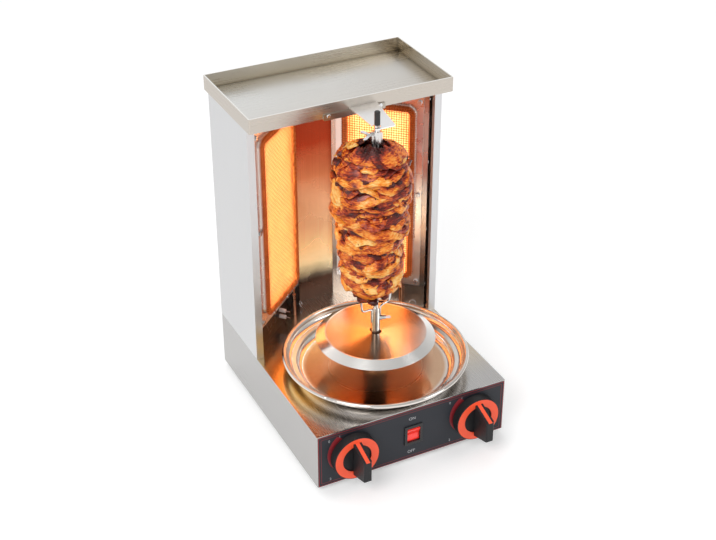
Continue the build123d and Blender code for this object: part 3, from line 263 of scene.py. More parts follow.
# ---------------------------------------------------------------- top tray
# Folded from the same sheet, its floor brushed along the width. Its lips are rolled over double. Their tops
# carry a painted highlight, their inner and outer faces and the corners carry painted shade, and the floor
# is painted lighter towards its far end.
steel_tray = brushed_steel("brushed steel tray", (5.0, 620.0, 620.0), (0.60, 0.57, 0.53),
                           (0.76, 0.73, 0.68), 0.27, 0.08, end_stretch=(620.0, 5.0, 620.0))
tree = steel_tray.node_tree
shader = tree.nodes["Principled BSDF"]
tray_floor_z, tray_middle_y, tray_lip_top = 0.4745, 0.094, 0.4948
spot = spot_on(tree)
facing = face_way(tree)
outward = maths(tree, "ADD", maths(tree, "MULTIPLY", spot["X"], facing["X"]), maths(
    tree, "MULTIPLY", maths(tree, "SUBTRACT", spot["Y"], tray_middle_y), facing["Y"]))
upright = maths(tree, "LESS_THAN", maths(tree, "ABSOLUTE", facing["Z"]), 0.5)
# painted shade on the inner faces of the lips, deepest low down
painted_shade_inside = maths(tree, "MULTIPLY", maths(tree, "LESS_THAN", outward, -0.02), upright)
painted_shade_inside = maths(tree, "MULTIPLY", painted_shade_inside, spread(tree, spot["Z"], tray_floor_z, tray_lip_top, 1.0, 0.55))
# painted light on the level faces towards the far end
painted_light_far_end = spread(tree, maths(tree, "MULTIPLY_ADD", spot["X"], -0.35, spot["Y"]), 0.03, 0.19)
level_face = maths(tree, "GREATER_THAN", facing["Z"], 0.5)
on_top = maths(tree, "GREATER_THAN", spot["Z"], tray_lip_top - 0.0012)
# painted highlight on the rolled tops of the lips
painted_highlight_top = maths(tree, "MULTIPLY", on_top, spread(tree, facing["Z"], 0.1, 0.6))
# painted shade in the corners, from ambient occlusion
painted_corner_shade = add(tree, "AmbientOcclusion", {"Distance": 0.012}).outputs["AO"]
painted_corner_shade = spread(tree, painted_corner_shade, 0.25, 0.75, 0.45, 1.0)
shaded = blend(tree, maths(tree, "MULTIPLY", painted_light_far_end, level_face), bare_colour(shader), (0.84, 0.85, 0.84))
shaded = blend(tree, maths(tree, "MULTIPLY", painted_shade_inside, 0.9), shaded, (0.36, 0.29, 0.19))
# painted shade on the outer faces of the lips
painted_shade_outside = maths(tree, "MULTIPLY", maths(tree, "GREATER_THAN", outward, 0.02), upright)
shaded = blend(tree, maths(tree, "MULTIPLY", painted_shade_outside, 0.55), shaded, (0.40, 0.34, 0.28))
shaded = times(tree, shaded, painted_corner_shade)
feed(tree, shader, {"Base Color": blend(tree, painted_highlight_top, shaded, (0.93, 0.92, 0.89))})
dress(steel_tray, "top_tray")

# ---------------------------------------------------------------- skewer arm
# A folded steel strip under the tray's lip, painted darker below the lip's height as shade, and its bright
# level tongue with the slot that holds the rod upright.
steel_arm = brushed_steel("bright steel arm", (9.0, 800.0, 800.0), (0.84, 0.83, 0.82),
                          (0.97, 0.96, 0.95), 0.30, 0.04)
tree = steel_arm.node_tree
shader = tree.nodes["Principled BSDF"]
height = spot_on(tree)["Z"]
# painted shade on the strip below the tray's lip
painted_shade_under_lip = spread(tree, height, 0.4800, 0.4812, 1.0, 0.0)
feed(tree, shader, {"Base Color": blend(tree, painted_shade_under_lip, bare_colour(shader), (0.42, 0.38, 0.33))})
dress(steel_arm, "skewer_arm")

# ---------------------------------------------------------------- feet
# Four moulded black rubber feet with a dusty bloom, each held by a screw.


def mottle(tree, scale, detail, spot=None, rough=0.5):
    """Cloudy change over the piece, or over a place that is given."""
    if spot is None:
        spot = add(tree, "TexCoord").outputs["Object"]
    return add(tree, "TexNoise", {"Vector": spot, "Scale": scale, "Detail": detail,
                                  "Roughness": rough}).outputs[0]


foot_rubber, tree, shader = start_material("foot rubber")
dust = mottle(tree, 260.0, 5.0)
feed(tree, shader, {
    "Base Color": blend(tree, dust, (0.012, 0.012, 0.013), (0.045, 0.045, 0.046)),
    "Roughness": spread(tree, dust, 0.0, 1.0, 0.62, 0.9),
    "Normal": relief(tree, dust, 0.25, 0.0004)})
dress(foot_rubber, "rubber_feet")

# ---------------------------------------------------------------- control panel film
# Dark grey polyester film, printed on its back and glued over the front plate: a double maroon
# border, a crescent by each knob, and the plain marks of the dials and the switch.
panel_film, tree, shader = start_material("panel film")
spot = add(tree, "TexCoord").outputs["Object"]
orange_peel = mottle(tree, 900.0, 2.0, spot)
shade = mottle(tree, 14.0, 3.0, spot)
feed(tree, shader, {
    "Base Color": blend(tree, shade, (0.018, 0.020, 0.026), (0.031, 0.034, 0.042)),
    "Specular IOR Level": 0.3,
    "Roughness": spread(tree, shade, 0.0, 1.0, 0.42, 0.58),
    "Normal": relief(tree, orange_peel, 0.12, 0.0002)})
dress(panel_film, "panel_overlay")

film_y = -0.1735
print_y = film_y - 0.00008


def ink(name, colour, worn):
    """Screen-printed ink: flat colour that thins in small spots."""
    made, tree, shader = start_material(name)
    spots = mottle(tree, 1400.0, 2.0)
    feed(tree, shader, {
        "Base Color": blend(tree, spots, colour, worn),
        "Roughness": spread(tree, spots, 0.0, 1.0, 0.4, 0.6)})
    return made


maroon_ink = ink("maroon ink", (0.34, 0.020, 0.028), (0.22, 0.016, 0.022))
grey_ink = ink("grey ink", (0.55, 0.55, 0.57), (0.40, 0.40, 0.42))


def place_mesh(name, points, faces, material, body):
    """A mesh piece with one material that rides on a body."""
    mesh = bpy.data.meshes.new(name)
    mesh.from_pydata([tuple(p) for p in points], [], faces)
    mesh.materials.append(material)
    piece = bpy.data.objects.new(name, mesh)
    bpy.context.scene.collection.objects.link(piece)
    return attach(piece, body)


def print_band(name, outer, inner, material):
    """A closed printed band between two outlines of (x, z) points on the film."""
    count = len(outer)
    points = [(x, print_y, z) for x, z in outer + inner]
    faces = [(i, (i + 1) % count, count + (i + 1) % count, count + i) for i in range(count)]
    return place_mesh(name, points, faces, material, "chassis")


film_half, film_low, film_high, film_corner = 0.1488, 0.0086, 0.0944, 0.0015


def rectangle(inset):
    """Outline of the film, moved in by an inset, with small round corners."""
    outline = []
    for sx, sz, start in ((1, 1, 0), (-1, 1, 90), (-1, -1, 180), (1, -1, 270)):
        cx = sx * (film_half - inset - film_corner)
        cz = (film_high if sz > 0 else film_low) - sz * (inset + film_corner)
        for step in range(5):
            angle = math.radians(start + step * 22.5)
            outline.append((cx + film_corner * math.cos(angle), cz + film_corner * math.sin(angle)))
    return outline


print_band("print_border_outer", rectangle(0.0002), rectangle(0.0013), maroon_ink)
print_band("print_border_inner", rectangle(0.0042), rectangle(0.0048), maroon_ink)

# A crescent round each knob's left side, blunt at its top and pointed at its foot
knob_z, crescent_inside, crescent_width = 0.054, 0.0310, 0.0098
crescent_start, crescent_sweep, crescent_steps = 118, 118, 36
for side, knob_x in (("left", -0.097), ("right", 0.097)):
    outer, inner = [], []
    for step in range(crescent_steps + 1):
        share = step / crescent_steps
        angle = math.radians(crescent_start + share * crescent_sweep)
        blunt = min(1.0, share / 0.05) ** 0.5
        wide = crescent_inside + 0.0004 + crescent_width * blunt * (1 - share) ** 0.62
        for edge, radius in ((outer, wide), (inner, crescent_inside)):
            edge.append((knob_x + radius * math.cos(angle), knob_z + radius * math.sin(angle)))
    points = [(x, print_y, z) for x, z in outer + inner]
    count = len(outer)
    faces = [(i, i + 1, count + i + 1, count + i) for i in range(crescent_steps)]
    place_mesh("print_crescent_" + side, points, faces, maroon_ink, "chassis")


def print_word(name, words, x, z, size):
    """Small printed mark, centred on a point of the film."""
    curve = bpy.data.curves.new(name, "FONT")
    curve.body, curve.size, curve.align_x, curve.align_y = words, size, "CENTER", "CENTER"
    text = bpy.data.objects.new(name + "_line", curve)
    bpy.context.scene.collection.objects.link(text)
    bpy.context.view_layer.update()
    mesh = bpy.data.meshes.new_from_object(text)
    bpy.data.objects.remove(text)
    mesh.transform(Matrix.Translation((x, print_y, z)) @ Matrix.Rotation(math.pi / 2, 4, "X"))
    mesh.materials.clear()
    mesh.materials.append(grey_ink)
    piece = bpy.data.objects.new(name, mesh)
    bpy.context.scene.collection.objects.link(piece)
    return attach(piece, "chassis")


knob_mark, switch_mark = 0.0058, 0.0068
for side, marks in (("left", ((-0.1319, 0.0838, "0"), (-0.1157, 0.0866, "1"), (-0.1306, 0.0171, "2"))),
                    ("right", ((0.0588, 0.0849, "0"), (0.0783, 0.0866, "1"), (0.0603, 0.0178, "2")))):
    for x, z, words in marks:
        print_word("print_" + side + "_" + words, words, x, z, knob_mark)
print_word("print_switch_on", "ON", -0.0020, 0.0785, switch_mark)
print_word("print_switch_off", "OFF", -0.0026, 0.0205, switch_mark)

# ---------------------------------------------------------------- knobs
# Moulded black knob with a deep fin, and an orange ring that is moulded in with its pointer. The
# cable gland and the terminal block are of the same plastic.
knob_plastic, tree, shader = start_material("knob plastic")
grit = mottle(tree, 1500.0, 3.0)
feed(tree, shader, {
    "Base Color": blend(tree, grit, (0.010, 0.010, 0.011), (0.024, 0.024, 0.026)),
    "Specular IOR Level": 0.25,
    "Roughness": spread(tree, grit, 0.0, 1.0, 0.36, 0.52),
    "Normal": relief(tree, grit, 0.18, 0.0002)})
dress(knob_plastic, "left_knob", "right_knob", "cable_gland", "terminal_block")

ring_orange, tree, shader = start_material("ring orange")
haze = mottle(tree, 90.0, 4.0)
# the ring also carries a faint painted glow through its emission
feed(tree, shader, {
    "Base Color": blend(tree, haze, (0.80, 0.070, 0.024), (0.92, 0.105, 0.035)),
    "Roughness": spread(tree, haze, 0.0, 1.0, 0.34, 0.5),
    "Emission Color": (0.9, 0.08, 0.02, 1), "Emission Strength": 0.12})
dress(ring_orange, "left_knob_ring", "right_knob_ring")

# ---------------------------------------------------------------- rocker switch
# Red see-through rocker with a small lamp behind it, in a glossy black snap-in housing.
rocker_red, tree, shader = start_material("rocker red")
depth = mottle(tree, 120.0, 2.0)
feed(tree, shader, {
    "Base Color": blend(tree, depth, (0.62, 0.015, 0.012), (0.86, 0.045, 0.030)),
    "Roughness": spread(tree, depth, 0.0, 1.0, 0.14, 0.24),
    "Coat Weight": 0.5, "Emission Color": (1.0, 0.035, 0.02, 1), "Emission Strength": 0.35})
dress(rocker_red, "switch_rocker")

switch_black, tree, shader = start_material("switch black")
bloom = mottle(tree, 500.0, 3.0)
feed(tree, shader, {
    "Base Color": blend(tree, bloom, (0.008, 0.008, 0.009), (0.018, 0.018, 0.019)),
    "Roughness": spread(tree, bloom, 0.0, 1.0, 0.22, 0.34)})
dress(switch_black, "switch_housing")

# ---------------------------------------------------------------- gas train
# Brass valves, injectors and hose nipple, copper tubes, and a satin aluminium manifold pipe.


def turned_metal(name, dark, light, rough):
    """Machined or drawn metal with fine tool marks and a little tarnish."""
    made, tree, shader = start_material(name)
    grain = use_group(tree, brushing, {"Stretch": (900.0, 900.0, 900.0), "Clouds": 60.0})
    tarnish = maths(tree, "MULTIPLY_ADD", grain["Cloud"], 0.8, maths(tree, "MULTIPLY", grain["Lines"], 0.2))
    feed(tree, shader, {
        "Base Color": blend(tree, tarnish, dark, light),
        "Metallic": 1.0,
        "Roughness": spread(tree, tarnish, 0.0, 1.0, rough - 0.1, rough + 0.12),
        "Normal": relief(tree, grain["Lines"], 0.06, 0.0004)})
    return made


dress(turned_metal("brass", (0.55, 0.36, 0.12), (0.86, 0.64, 0.27), 0.30),
      "gas_valves", "gas_inlet", "injectors", "shaft_bush")
dress(turned_metal("copper", (0.52, 0.20, 0.10), (0.90, 0.48, 0.30), 0.28), "supply_tubes", "thermocouples")
dress(turned_metal("manifold aluminium", (0.55, 0.55, 0.56), (0.74, 0.74, 0.75), 0.38), "gas_manifold")
dress(turned_metal("motor steel", (0.34, 0.34, 0.35), (0.52, 0.52, 0.53), 0.42), "gear_motor")
bright_metal = turned_metal("bright steel", (0.58, 0.58, 0.59), (0.86, 0.86, 0.86), 0.20)
dress(bright_metal, "foot_screws", "burner_screws", "rivets", "machine_screws", "motor_shaft",
      "left_valve_stem", "right_valve_stem", "left_spring_cup", "right_spring_cup",
      "upper_wing_screw", "lower_wing_screw", "electrode_wires")

# ---------------------------------------------------------------- inside wires
# Brown heat-proof insulation with a faint spiral weave.
wire_skin, tree, shader = start_material("wire skin")
weave = add(tree, "TexWave", {"Vector": add(tree, "TexCoord").outputs["Object"], "Scale": 260.0,
                              "Distortion": 1.5}).outputs[1]
feed(tree, shader, {
    "Base Color": blend(tree, weave, (0.20, 0.05, 0.03), (0.32, 0.09, 0.05)),
    "Roughness": spread(tree, weave, 0.0, 1.0, 0.5, 0.7)})
dress(wire_skin, "mains_wires")

# ---------------------------------------------------------------- reflectors
# Two angled panels and the sheet between them, bright-rolled steel with an upright grain. Their colour runs
# in bands by height: heat tint together with painted reflections of the burners' glow, and the left one is
# near black low down.
deck_z, tray_z = 0.096, 0.4735
panel_middle = (0.084, 0.0985)
panel_angle = math.atan2(0.097, 0.110)


def ramp(tree, share, bands):
    """A colour that runs through bands of (place, colour), from the lowest place to the highest."""
    made = add(tree, "ValToRGB", {0: share})
    stops = made.color_ramp.elements
    for index, (at, colour) in ((0, bands[0]), (1, bands[-1])):
        stops[index].position, stops[index].color = at, (*colour, 1)
    for at, colour in bands[1:-1]:
        stops.new(at).color = (*colour, 1)
    return made.outputs[0]


# Painted glow on the sheet, standing in for the burners' light on it, by the share of its height
painted_glow_bands = ((0.11, (0.0, 0.0, 0.0)), (0.17, (1.0, 0.70, 0.34)), (0.24, (0.80, 0.42, 0.16)),
              (0.36, (0.30, 0.08, 0.02)), (0.60, (0.10, 0.012, 0.002)))


def heat_tint_and_painted_reflection_steel(name, bands, rough, grain_way, painted_glow=0.0):
    """Bright sheet whose heat tint and painted reflections of the burners' glow change with the height
    above the deck, under a painted glow of a given strength.
    """
    made, tree, shader = start_material(name)
    grain = use_group(tree, brushing, {"Stretch": (500.0, 500.0, 5.0), "Clouds": 13.0})
    share = spread(tree, spot_on(tree)["Z"], deck_z, tray_z)
    share = maths(tree, "MULTIPLY_ADD", maths(tree, "SUBTRACT", grain["Cloud"], 0.5), 0.10, share)
    worn = spread(tree, grain["Lines"], 0.3, 0.7, 0.82, 1.0)
    feed(tree, shader, {
        "Emission Color": ramp(tree, share, painted_glow_bands), "Emission Strength": painted_glow,
        "Base Color": times(tree, ramp(tree, share, bands), worn),
        "Metallic": 0.85, "Anisotropic": 0.6,
        "Tangent": add(tree, "CombineXYZ", {"X": grain_way[0], "Y": grain_way[1]}).outputs[0],
        "Roughness": spread(tree, grain["Cloud"], 0.3, 0.7, rough - 0.05, rough + 0.07),
        "Normal": relief(tree, grain["Lines"], 0.06, 0.0006)})
    return made


# heat tint with a painted reflection of the burners' glow, brightest low down, and a painted glow over it
dress(heat_tint_and_painted_reflection_steel("middle reflector steel", (
    (0.0, (0.17, 0.10, 0.07)), (0.09, (0.22, 0.11, 0.07)), (0.14, (1.0, 0.90, 0.66)),
    (0.26, (1.0, 0.80, 0.50)), (0.42, (0.88, 0.50, 0.28)), (0.58, (0.62, 0.20, 0.08)),
    (0.72, (0.36, 0.035, 0.008)), (1.0, (0.14, 0.02, 0.008))), 0.26, (1.0, 0.0), 0.62), "middle_reflector")
dress(heat_tint_and_painted_reflection_steel("left reflector steel", (
    (0.0, (0.012, 0.007, 0.005)), (0.13, (0.018, 0.010, 0.007)), (0.22, (0.30, 0.16, 0.10)),
    (0.60, (0.78, 0.62, 0.52)), (0.90, (0.60, 0.34, 0.25)), (1.0, (0.20, 0.06, 0.04))),
    0.26, (math.cos(panel_angle), math.sin(panel_angle))), "left_reflector")
dress(heat_tint_and_painted_reflection_steel("right reflector steel", (
    (0.0, (0.80, 0.70, 0.58)), (0.08, (0.66, 0.56, 0.47)), (0.15, (0.30, 0.22, 0.18)),
    (0.25, (0.62, 0.50, 0.42)), (0.85, (0.80, 0.68, 0.60)), (1.0, (0.42, 0.16, 0.10))),
    0.26, (math.cos(panel_angle), -math.sin(panel_angle))), "right_reflector")

# ---------------------------------------------------------------- burner tiles
# Pressed ceramic plaques full of fine flame holes. They glow yellow-white, and orange towards
# their edges.
window_low, window_high, window_half = 0.156, 0.428, 0.047
holes_per_metre = 520.0

# Place on an angled panel: along it, out from it into the chamber, and in from the window's edge
panel_place, asked, given = shader_group(
    "panel place", [("Side", "Float", 1.0)], [("Along", "Float"), ("Out", "Float"), ("Inside", "Float")])
spot = spot_on(panel_place)
across = maths(panel_place, "MULTIPLY_ADD", spot["X"], asked["Side"], -panel_middle[0])
back = maths(panel_place, "SUBTRACT", spot["Y"], panel_middle[1])
along = maths(panel_place, "MULTIPLY_ADD", across, math.cos(panel_angle),
              maths(panel_place, "MULTIPLY", back, -math.sin(panel_angle)))
out = maths(panel_place, "MULTIPLY_ADD", across, -math.sin(panel_angle),
            maths(panel_place, "MULTIPLY", back, -math.cos(panel_angle)))
inside_x = maths(panel_place, "SUBTRACT", window_half, maths(panel_place, "ABSOLUTE", along))
inside_z = maths(panel_place, "MINIMUM", maths(panel_place, "SUBTRACT", spot["Z"], window_low),
                 maths(panel_place, "SUBTRACT", window_high, spot["Z"]))
feed(panel_place, given, {"Along": along, "Out": out,
                          "Inside": maths(panel_place, "MINIMUM", inside_x, inside_z)})

for side, sign in (("left", -1.0), ("right", 1.0)):
    glow, tree, shader = start_material("glowing tile " + side)
    place = use_group(tree, panel_place, {"Side": sign})
    spot = add(tree, "TexCoord").outputs["Object"]
    height = add(tree, "SeparateXYZ", {0: spot}).outputs["Z"]
    patch = mottle(tree, 1.0, 3.0, times(tree, spot, (60.0, 60.0, 14.0)))
    inward = maths(tree, "MULTIPLY_ADD", maths(tree, "SUBTRACT", patch, 0.5), 0.034, place["Inside"])
    flame = spread(tree, inward, -0.003, 0.017)
    flat = add(tree, "CombineXYZ", {"X": maths(tree, "MULTIPLY", place["Along"], holes_per_metre),
                                    "Y": maths(tree, "MULTIPLY", height, holes_per_metre)}).outputs[0]
    pits = add(tree, "TexVoronoi", {"Vector": flat, "Scale": 1.0, "Randomness": 0.12}).outputs["Distance"]
    pit = spread(tree, pits, 0.18, 0.42)
    fire = ramp(tree, flame, ((0.0, (1.0, 0.10, 0.008)), (0.4, (1.0, 0.23, 0.040)),
                              (1.0, (1.0, 0.36, 0.105))))
    lit = blend(tree, pit, (1.0, 0.46, 0.16), fire)
    feed(tree, shader, {
        "Base Color": (0.75, 0.52, 0.36, 1), "Roughness": 0.85, "Emission Color": lit,
        "Emission Strength": 3.1,
        "Normal": relief(tree, pits, 0.4, 0.0008)})
    dress(glow, side + "_burner_tiles")

# ---------------------------------------------------------------- burner frames and housings
# Pressed stainless flange with a raised rim that clamps the guard. The flange keeps its bright
# face, and the rim is burnt and glows dull orange where the flames reach it. The gas chamber
# behind it is scaled by heat.
for side, sign in (("left", -1.0), ("right", 1.0)):
    frame_steel, tree, shader = start_material("burner frame " + side)
    place = use_group(tree, panel_place, {"Side": sign})
    spot = add(tree, "TexCoord").outputs["Object"]
    height = add(tree, "SeparateXYZ", {0: spot}).outputs["Z"]
    grain = use_group(tree, brushing, {"Stretch": (500.0, 500.0, 6.0), "Clouds": 26.0})
    raised = spread(tree, place["Out"], 0.0026, 0.0062)
    cooler = spread(tree, height, window_high, window_high + 0.012, 1.0, 0.30)
    bright = blend(tree, grain["Cloud"], (0.74, 0.66, 0.62), (0.97, 0.93, 0.90))
    burnt = blend(tree, grain["Cloud"], (0.12, 0.03, 0.015), (0.42, 0.16, 0.07))
    uneven = spread(tree, grain["Cloud"], 0.35, 0.65, 0.45, 1.0)
    hot = maths(tree, "MULTIPLY", maths(tree, "MULTIPLY", raised, cooler), uneven)
    feed(tree, shader, {
        "Base Color": blend(tree, raised, bright, burnt),
        "Metallic": 0.9,
        "Roughness": spread(tree, grain["Cloud"], 0.3, 0.7, 0.22, 0.38),
        "Emission Color": blend(tree, hot, (0.0, 0.0, 0.0), (1.0, 0.17, 0.022)),
        "Emission Strength": 0.34,
        "Normal": relief(tree, grain["Lines"], 0.08, 0.0005)})
    dress(frame_steel, side + "_burner_frame")

scaled, tree, shader = start_material("scaled steel")
spot = add(tree, "TexCoord").outputs["Object"]
scale_grain = mottle(tree, 380.0, 6.0, spot)
blotch = mottle(tree, 30.0, 4.0, spot)
scaling = maths(tree, "MULTIPLY_ADD", blotch, 0.6, maths(tree, "MULTIPLY", scale_grain, 0.4))
feed(tree, shader, {
    "Base Color": ramp(tree, scaling, ((0.36, (0.12, 0.05, 0.03)), (0.64, (0.50, 0.32, 0.20)))),
    "Metallic": 0.75,
    "Roughness": spread(tree, scale_grain, 0.0, 1.0, 0.34, 0.6),
    "Normal": relief(tree, scale_grain, 0.3, 0.0005)})
dress(scaled, "left_burner_housing", "right_burner_housing")

# ---------------------------------------------------------------- wire guards
# Square woven wire drawn over the tiles and down the sides of the raised rim, orange hot in
# places. It takes the place of the plain holed sheet.
guard_wires = {}
for side, glow_level in (("left", 1.05), ("right", 0.62)):
    guard_wires[side], tree, shader = start_material("guard wire " + side)
    hot = spread(tree, mottle(tree, 170.0, 3.0), 0.36, 0.64)
    place = use_group(tree, panel_place, {"Side": -1.0 if side == "left" else 1.0})
    hot = maths(tree, "MULTIPLY", hot, spread(tree, place["Inside"], -0.003, 0.006, 0.12, 1.0))
    feed(tree, shader, {
        "Base Color": blend(tree, hot, (0.07, 0.02, 0.010), (0.34, 0.12, 0.05)),
        "Metallic": 0.7,
        "Roughness": spread(tree, hot, 0.0, 1.0, 0.45, 0.7),
        "Emission Color": blend(tree, hot, (0.26, 0.035, 0.004), (1.0, 0.36, 0.07)),
        "Emission Strength": glow_level})


def panel_matrix(sign):
    """Frame of an angled panel: X along it, -Y into the chamber, Z up from the deck."""
    return (Matrix.Translation((sign * panel_middle[0], panel_middle[1], deck_z))
            @ Matrix.Rotation(-sign * panel_angle, 4, "Z"))


def tube(points, radius, sides=4):
    """A thin tube along a line of points, as points and faces."""
    made, faces = [], []
    for index, point in enumerate(points):
        ahead = (points[min(index + 1, len(points) - 1)] - points[max(index - 1, 0)]).normalized()
        first = ahead.orthogonal().normalized()
        second = ahead.cross(first)
        for corner in range(sides):
            angle = 2 * math.pi * (corner + 0.5) / sides
            made.append(point + (first * math.cos(angle) + second * math.sin(angle)) * radius)
    for index in range(len(points) - 1):
        for corner in range(sides):
            a = index * sides + corner
            b = index * sides + (corner + 1) % sides
            faces.append((a, b, b + sides, a + sides))
    return made, faces


wire_radius, columns, rows = 0.00045, 30, 78
guard_y, foot_y, corner_round = -0.0095, -0.0052, 0.013  # wire's front, its ends, the rim's corners
half_x, half_z, centre_z = 0.0553, 0.1443, 0.196
pitch_x, pitch_z = 2 * half_x / columns, 2 * half_z / rows


def reach(half, other_half, offset):
    """Half length of a wire that crosses the rim at an offset, inside the rim's round corners."""
    past = abs(offset) - (other_half - corner_round)
    return half if past <= 0 else half - corner_round + math.sqrt(max(corner_round ** 2 - past ** 2, 0.0))


def woven_run(half, pitch, phase):
    """Places along one wire, with its weave in and out and its ends turned down the rim's side."""
    run = [(-half - wire_radius * 1.6, foot_y), (-half - wire_radius * 1.2, guard_y + 0.0012)]
    steps = max(2, round(2 * (half - 0.001) / pitch * 2))
    for step in range(steps + 1):
        share = -1 + 2 * step / steps
        weave = wire_radius * (0 if step % 2 else (1 if (step // 2 + phase) % 2 else -1))
        run.append((share * (half - 0.001), guard_y + weave))
    return run + [(-place, y) for place, y in reversed(run[:2])]


for side, sign in (("left", -1), ("right", 1)):
    points, faces, runs = [], [], []
    for row in range(rows):
        z = (row + 0.5) * pitch_z - half_z
        places = woven_run(reach(half_x, half_z, z), pitch_x, row)
        runs.append([Vector((x, y, centre_z + z)) for x, y in places])
    for column in range(columns):
        x = (column + 0.5) * pitch_x - half_x
        places = woven_run(reach(half_z, half_x, x), pitch_z, column + 1)
        runs.append([Vector((x, y, centre_z + z)) for z, y in places])
    for run in runs:
        more, sides = tube(run, wire_radius)
        faces += [tuple(len(points) + i for i in face) for face in sides]
        points += more
    matrix = panel_matrix(sign)
    guard = place_mesh(side + "_wire_guard", [matrix @ p for p in points], faces, guard_wires[side],
                       "chassis")
    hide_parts(side + "_burner_mesh")

# ---------------------------------------------------------------- electrodes
# Glazed white ceramic posts under each burner, pink where they face the glow.
post_glaze, tree, shader = start_material("post glaze")
soot = mottle(tree, 200.0, 3.0)
feed(tree, shader, {
    "Base Color": blend(tree, soot, (0.90, 0.80, 0.76), (0.72, 0.60, 0.56)),
    "Roughness": spread(tree, soot, 0.0, 1.0, 0.18, 0.34),
    "Coat Weight": 0.4})
dress(post_glaze, "electrode_ceramics")

# ---------------------------------------------------------------- turning plate and pan
# Spun steel: the plate is turned to fine rings round its axis, and the pan is polished, with
# rings left by the spinning tool.
axis = (0.0, -0.0556, 0.0)


def spun_steel(name, dark, light, rough, rings, bump, anisotropic, tint):
    """Steel with fine rings round the turning axis, coloured by a given function, which lays painted
    reflections on the plate and browning with painted glow on the pan, and with a rougher middle.
    """
    made, tree, shader = start_material(name)
    spot = add(tree, "TexCoord").outputs["Object"]
    moved = add(tree, "VectorMath", {0: spot, 1: axis}, operation="SUBTRACT").outputs[0]
    flat = times(tree, moved, (1.0, 1.0, 0.0))
    radius = add(tree, "VectorMath", {0: flat}, operation="LENGTH").outputs["Value"]
    way = add(tree, "VectorMath", {0: flat}, operation="NORMALIZE").outputs[0]
    ring = add(tree, "CombineXYZ", {"X": maths(tree, "MULTIPLY", radius, rings)}).outputs[0]
    turned = mottle(tree, 1.0, 4.0, ring)
    haze = mottle(tree, 20.0, 4.0, spot)
    tone = maths(tree, "MULTIPLY_ADD", haze, 0.5, maths(tree, "MULTIPLY", turned, 0.5))
    steel = blend(tree, tone, dark, light)
    colour, rougher = tint(tree, steel, radius, way)
    feed(tree, shader, {
        "Base Color": colour, "Metallic": 1.0,
        "Roughness": maths(tree, "ADD", rougher, spread(tree, tone, 0.3, 0.7, rough - 0.05, rough + 0.06)),
        "Anisotropic": anisotropic, "Anisotropic Rotation": 0.25,
        "Tangent": add(tree, "Tangent", direction_type="RADIAL", axis="Z").outputs[0],
        "Normal": relief(tree, turned, bump, 0.0005)})
    return made


def sector(tree, way, degrees, first, last):
    """1 in one direction from the axis, falling to 0 to both sides."""
    turn = math.radians(degrees)
    near = add(tree, "VectorMath", {0: way, 1: (math.cos(turn), math.sin(turn), 0.0)},
               operation="DOT_PRODUCT").outputs["Value"]
    return spread(tree, near, first, last, smooth=True)


def plate_painted_reflections(tree, steel, radius, way):
    """The plate's flat face carries painted reflections in wedges: golden to the left, orange at the back,
    dark at the front left and pale at the front right. Its sloped rim is painted bright as a highlight.
    """
    face = spread(tree, radius, 0.0715, 0.0722, 1.0, 0.0)
    colour = steel
    for degrees, first, last, share, shade in (
            (178.0, 0.25, 0.95, 0.85, (0.98, 0.66, 0.30)), (60.0, 0.2, 0.9, 0.7, (0.80, 0.45, 0.20)),
            (232.0, 0.70, 0.98, 0.92, (0.13, 0.07, 0.04)), (-50.0, 0.45, 0.98, 0.9, (0.99, 0.93, 0.85))):
        amount = maths(tree, "MULTIPLY", sector(tree, way, degrees, first, last), face)
        colour = blend(tree, maths(tree, "MULTIPLY", amount, share), colour, shade)
    return blend(tree, face, (0.90, 0.88, 0.85), colour), 0.0


def pan_tint(tree, steel, radius, way):
    """The pan's floor is browned by burnt fat, with the orange of the burners' reflection painted into it,
    and dulled in the middle by scraping.
    """
    floor_part = spread(tree, radius, 0.100, 0.106, 1.0, 0.0)
    browned_with_painted_glow = times(tree, steel, (0.80, 0.55, 0.38))
    return blend(tree, floor_part, steel, browned_with_painted_glow), spread(tree, radius, 0.045, 0.095, 0.26, 0.0)


# The hub under the plate is very dark brown steel
dress(turned_metal("dark brown hub steel", (0.05, 0.025, 0.014), (0.12, 0.06, 0.035), 0.4), "drive_hub")
dress(spun_steel("turned plate steel", (0.46, 0.44, 0.41), (0.70, 0.67, 0.63), 0.20, 1800.0, 0.10, 0.8,
                 plate_painted_reflections), "turntable_disc")
dress(spun_steel("polished pan steel", (0.62, 0.57, 0.52), (0.90, 0.86, 0.82), 0.13, 420.0, 0.08, 0.4,
                 pan_tint), "drip_pan")

# ---------------------------------------------------------------- skewer and forks
# Polished round bar and wire, a little dulled where fat has burnt on. The bar's tip is blacked.
skewer_steel, tree, shader = start_material("skewer steel")
spot = add(tree, "TexCoord").outputs["Object"]
film = mottle(tree, 75.0, 5.0, spot)
height = add(tree, "SeparateXYZ", {0: spot}).outputs["Z"]
blacked = spread(tree, maths(tree, "MULTIPLY_ADD", film, 0.002, height), 0.4850, 0.4856)
bare = blend(tree, film, (0.50, 0.47, 0.44), (0.84, 0.83, 0.82))
feed(tree, shader, {
    "Base Color": blend(tree, blacked, bare, (0.012, 0.011, 0.011)),
    "Metallic": maths(tree, "SUBTRACT", 1.0, blacked),
    "Roughness": maths(tree, "MULTIPLY_ADD", blacked, 0.25, spread(tree, film, 0.0, 1.0, 0.10, 0.30)),
    "Normal": relief(tree, film, 0.05, 0.0005)})
dress(skewer_steel, "skewer_rod", "upper_fork", "lower_fork")

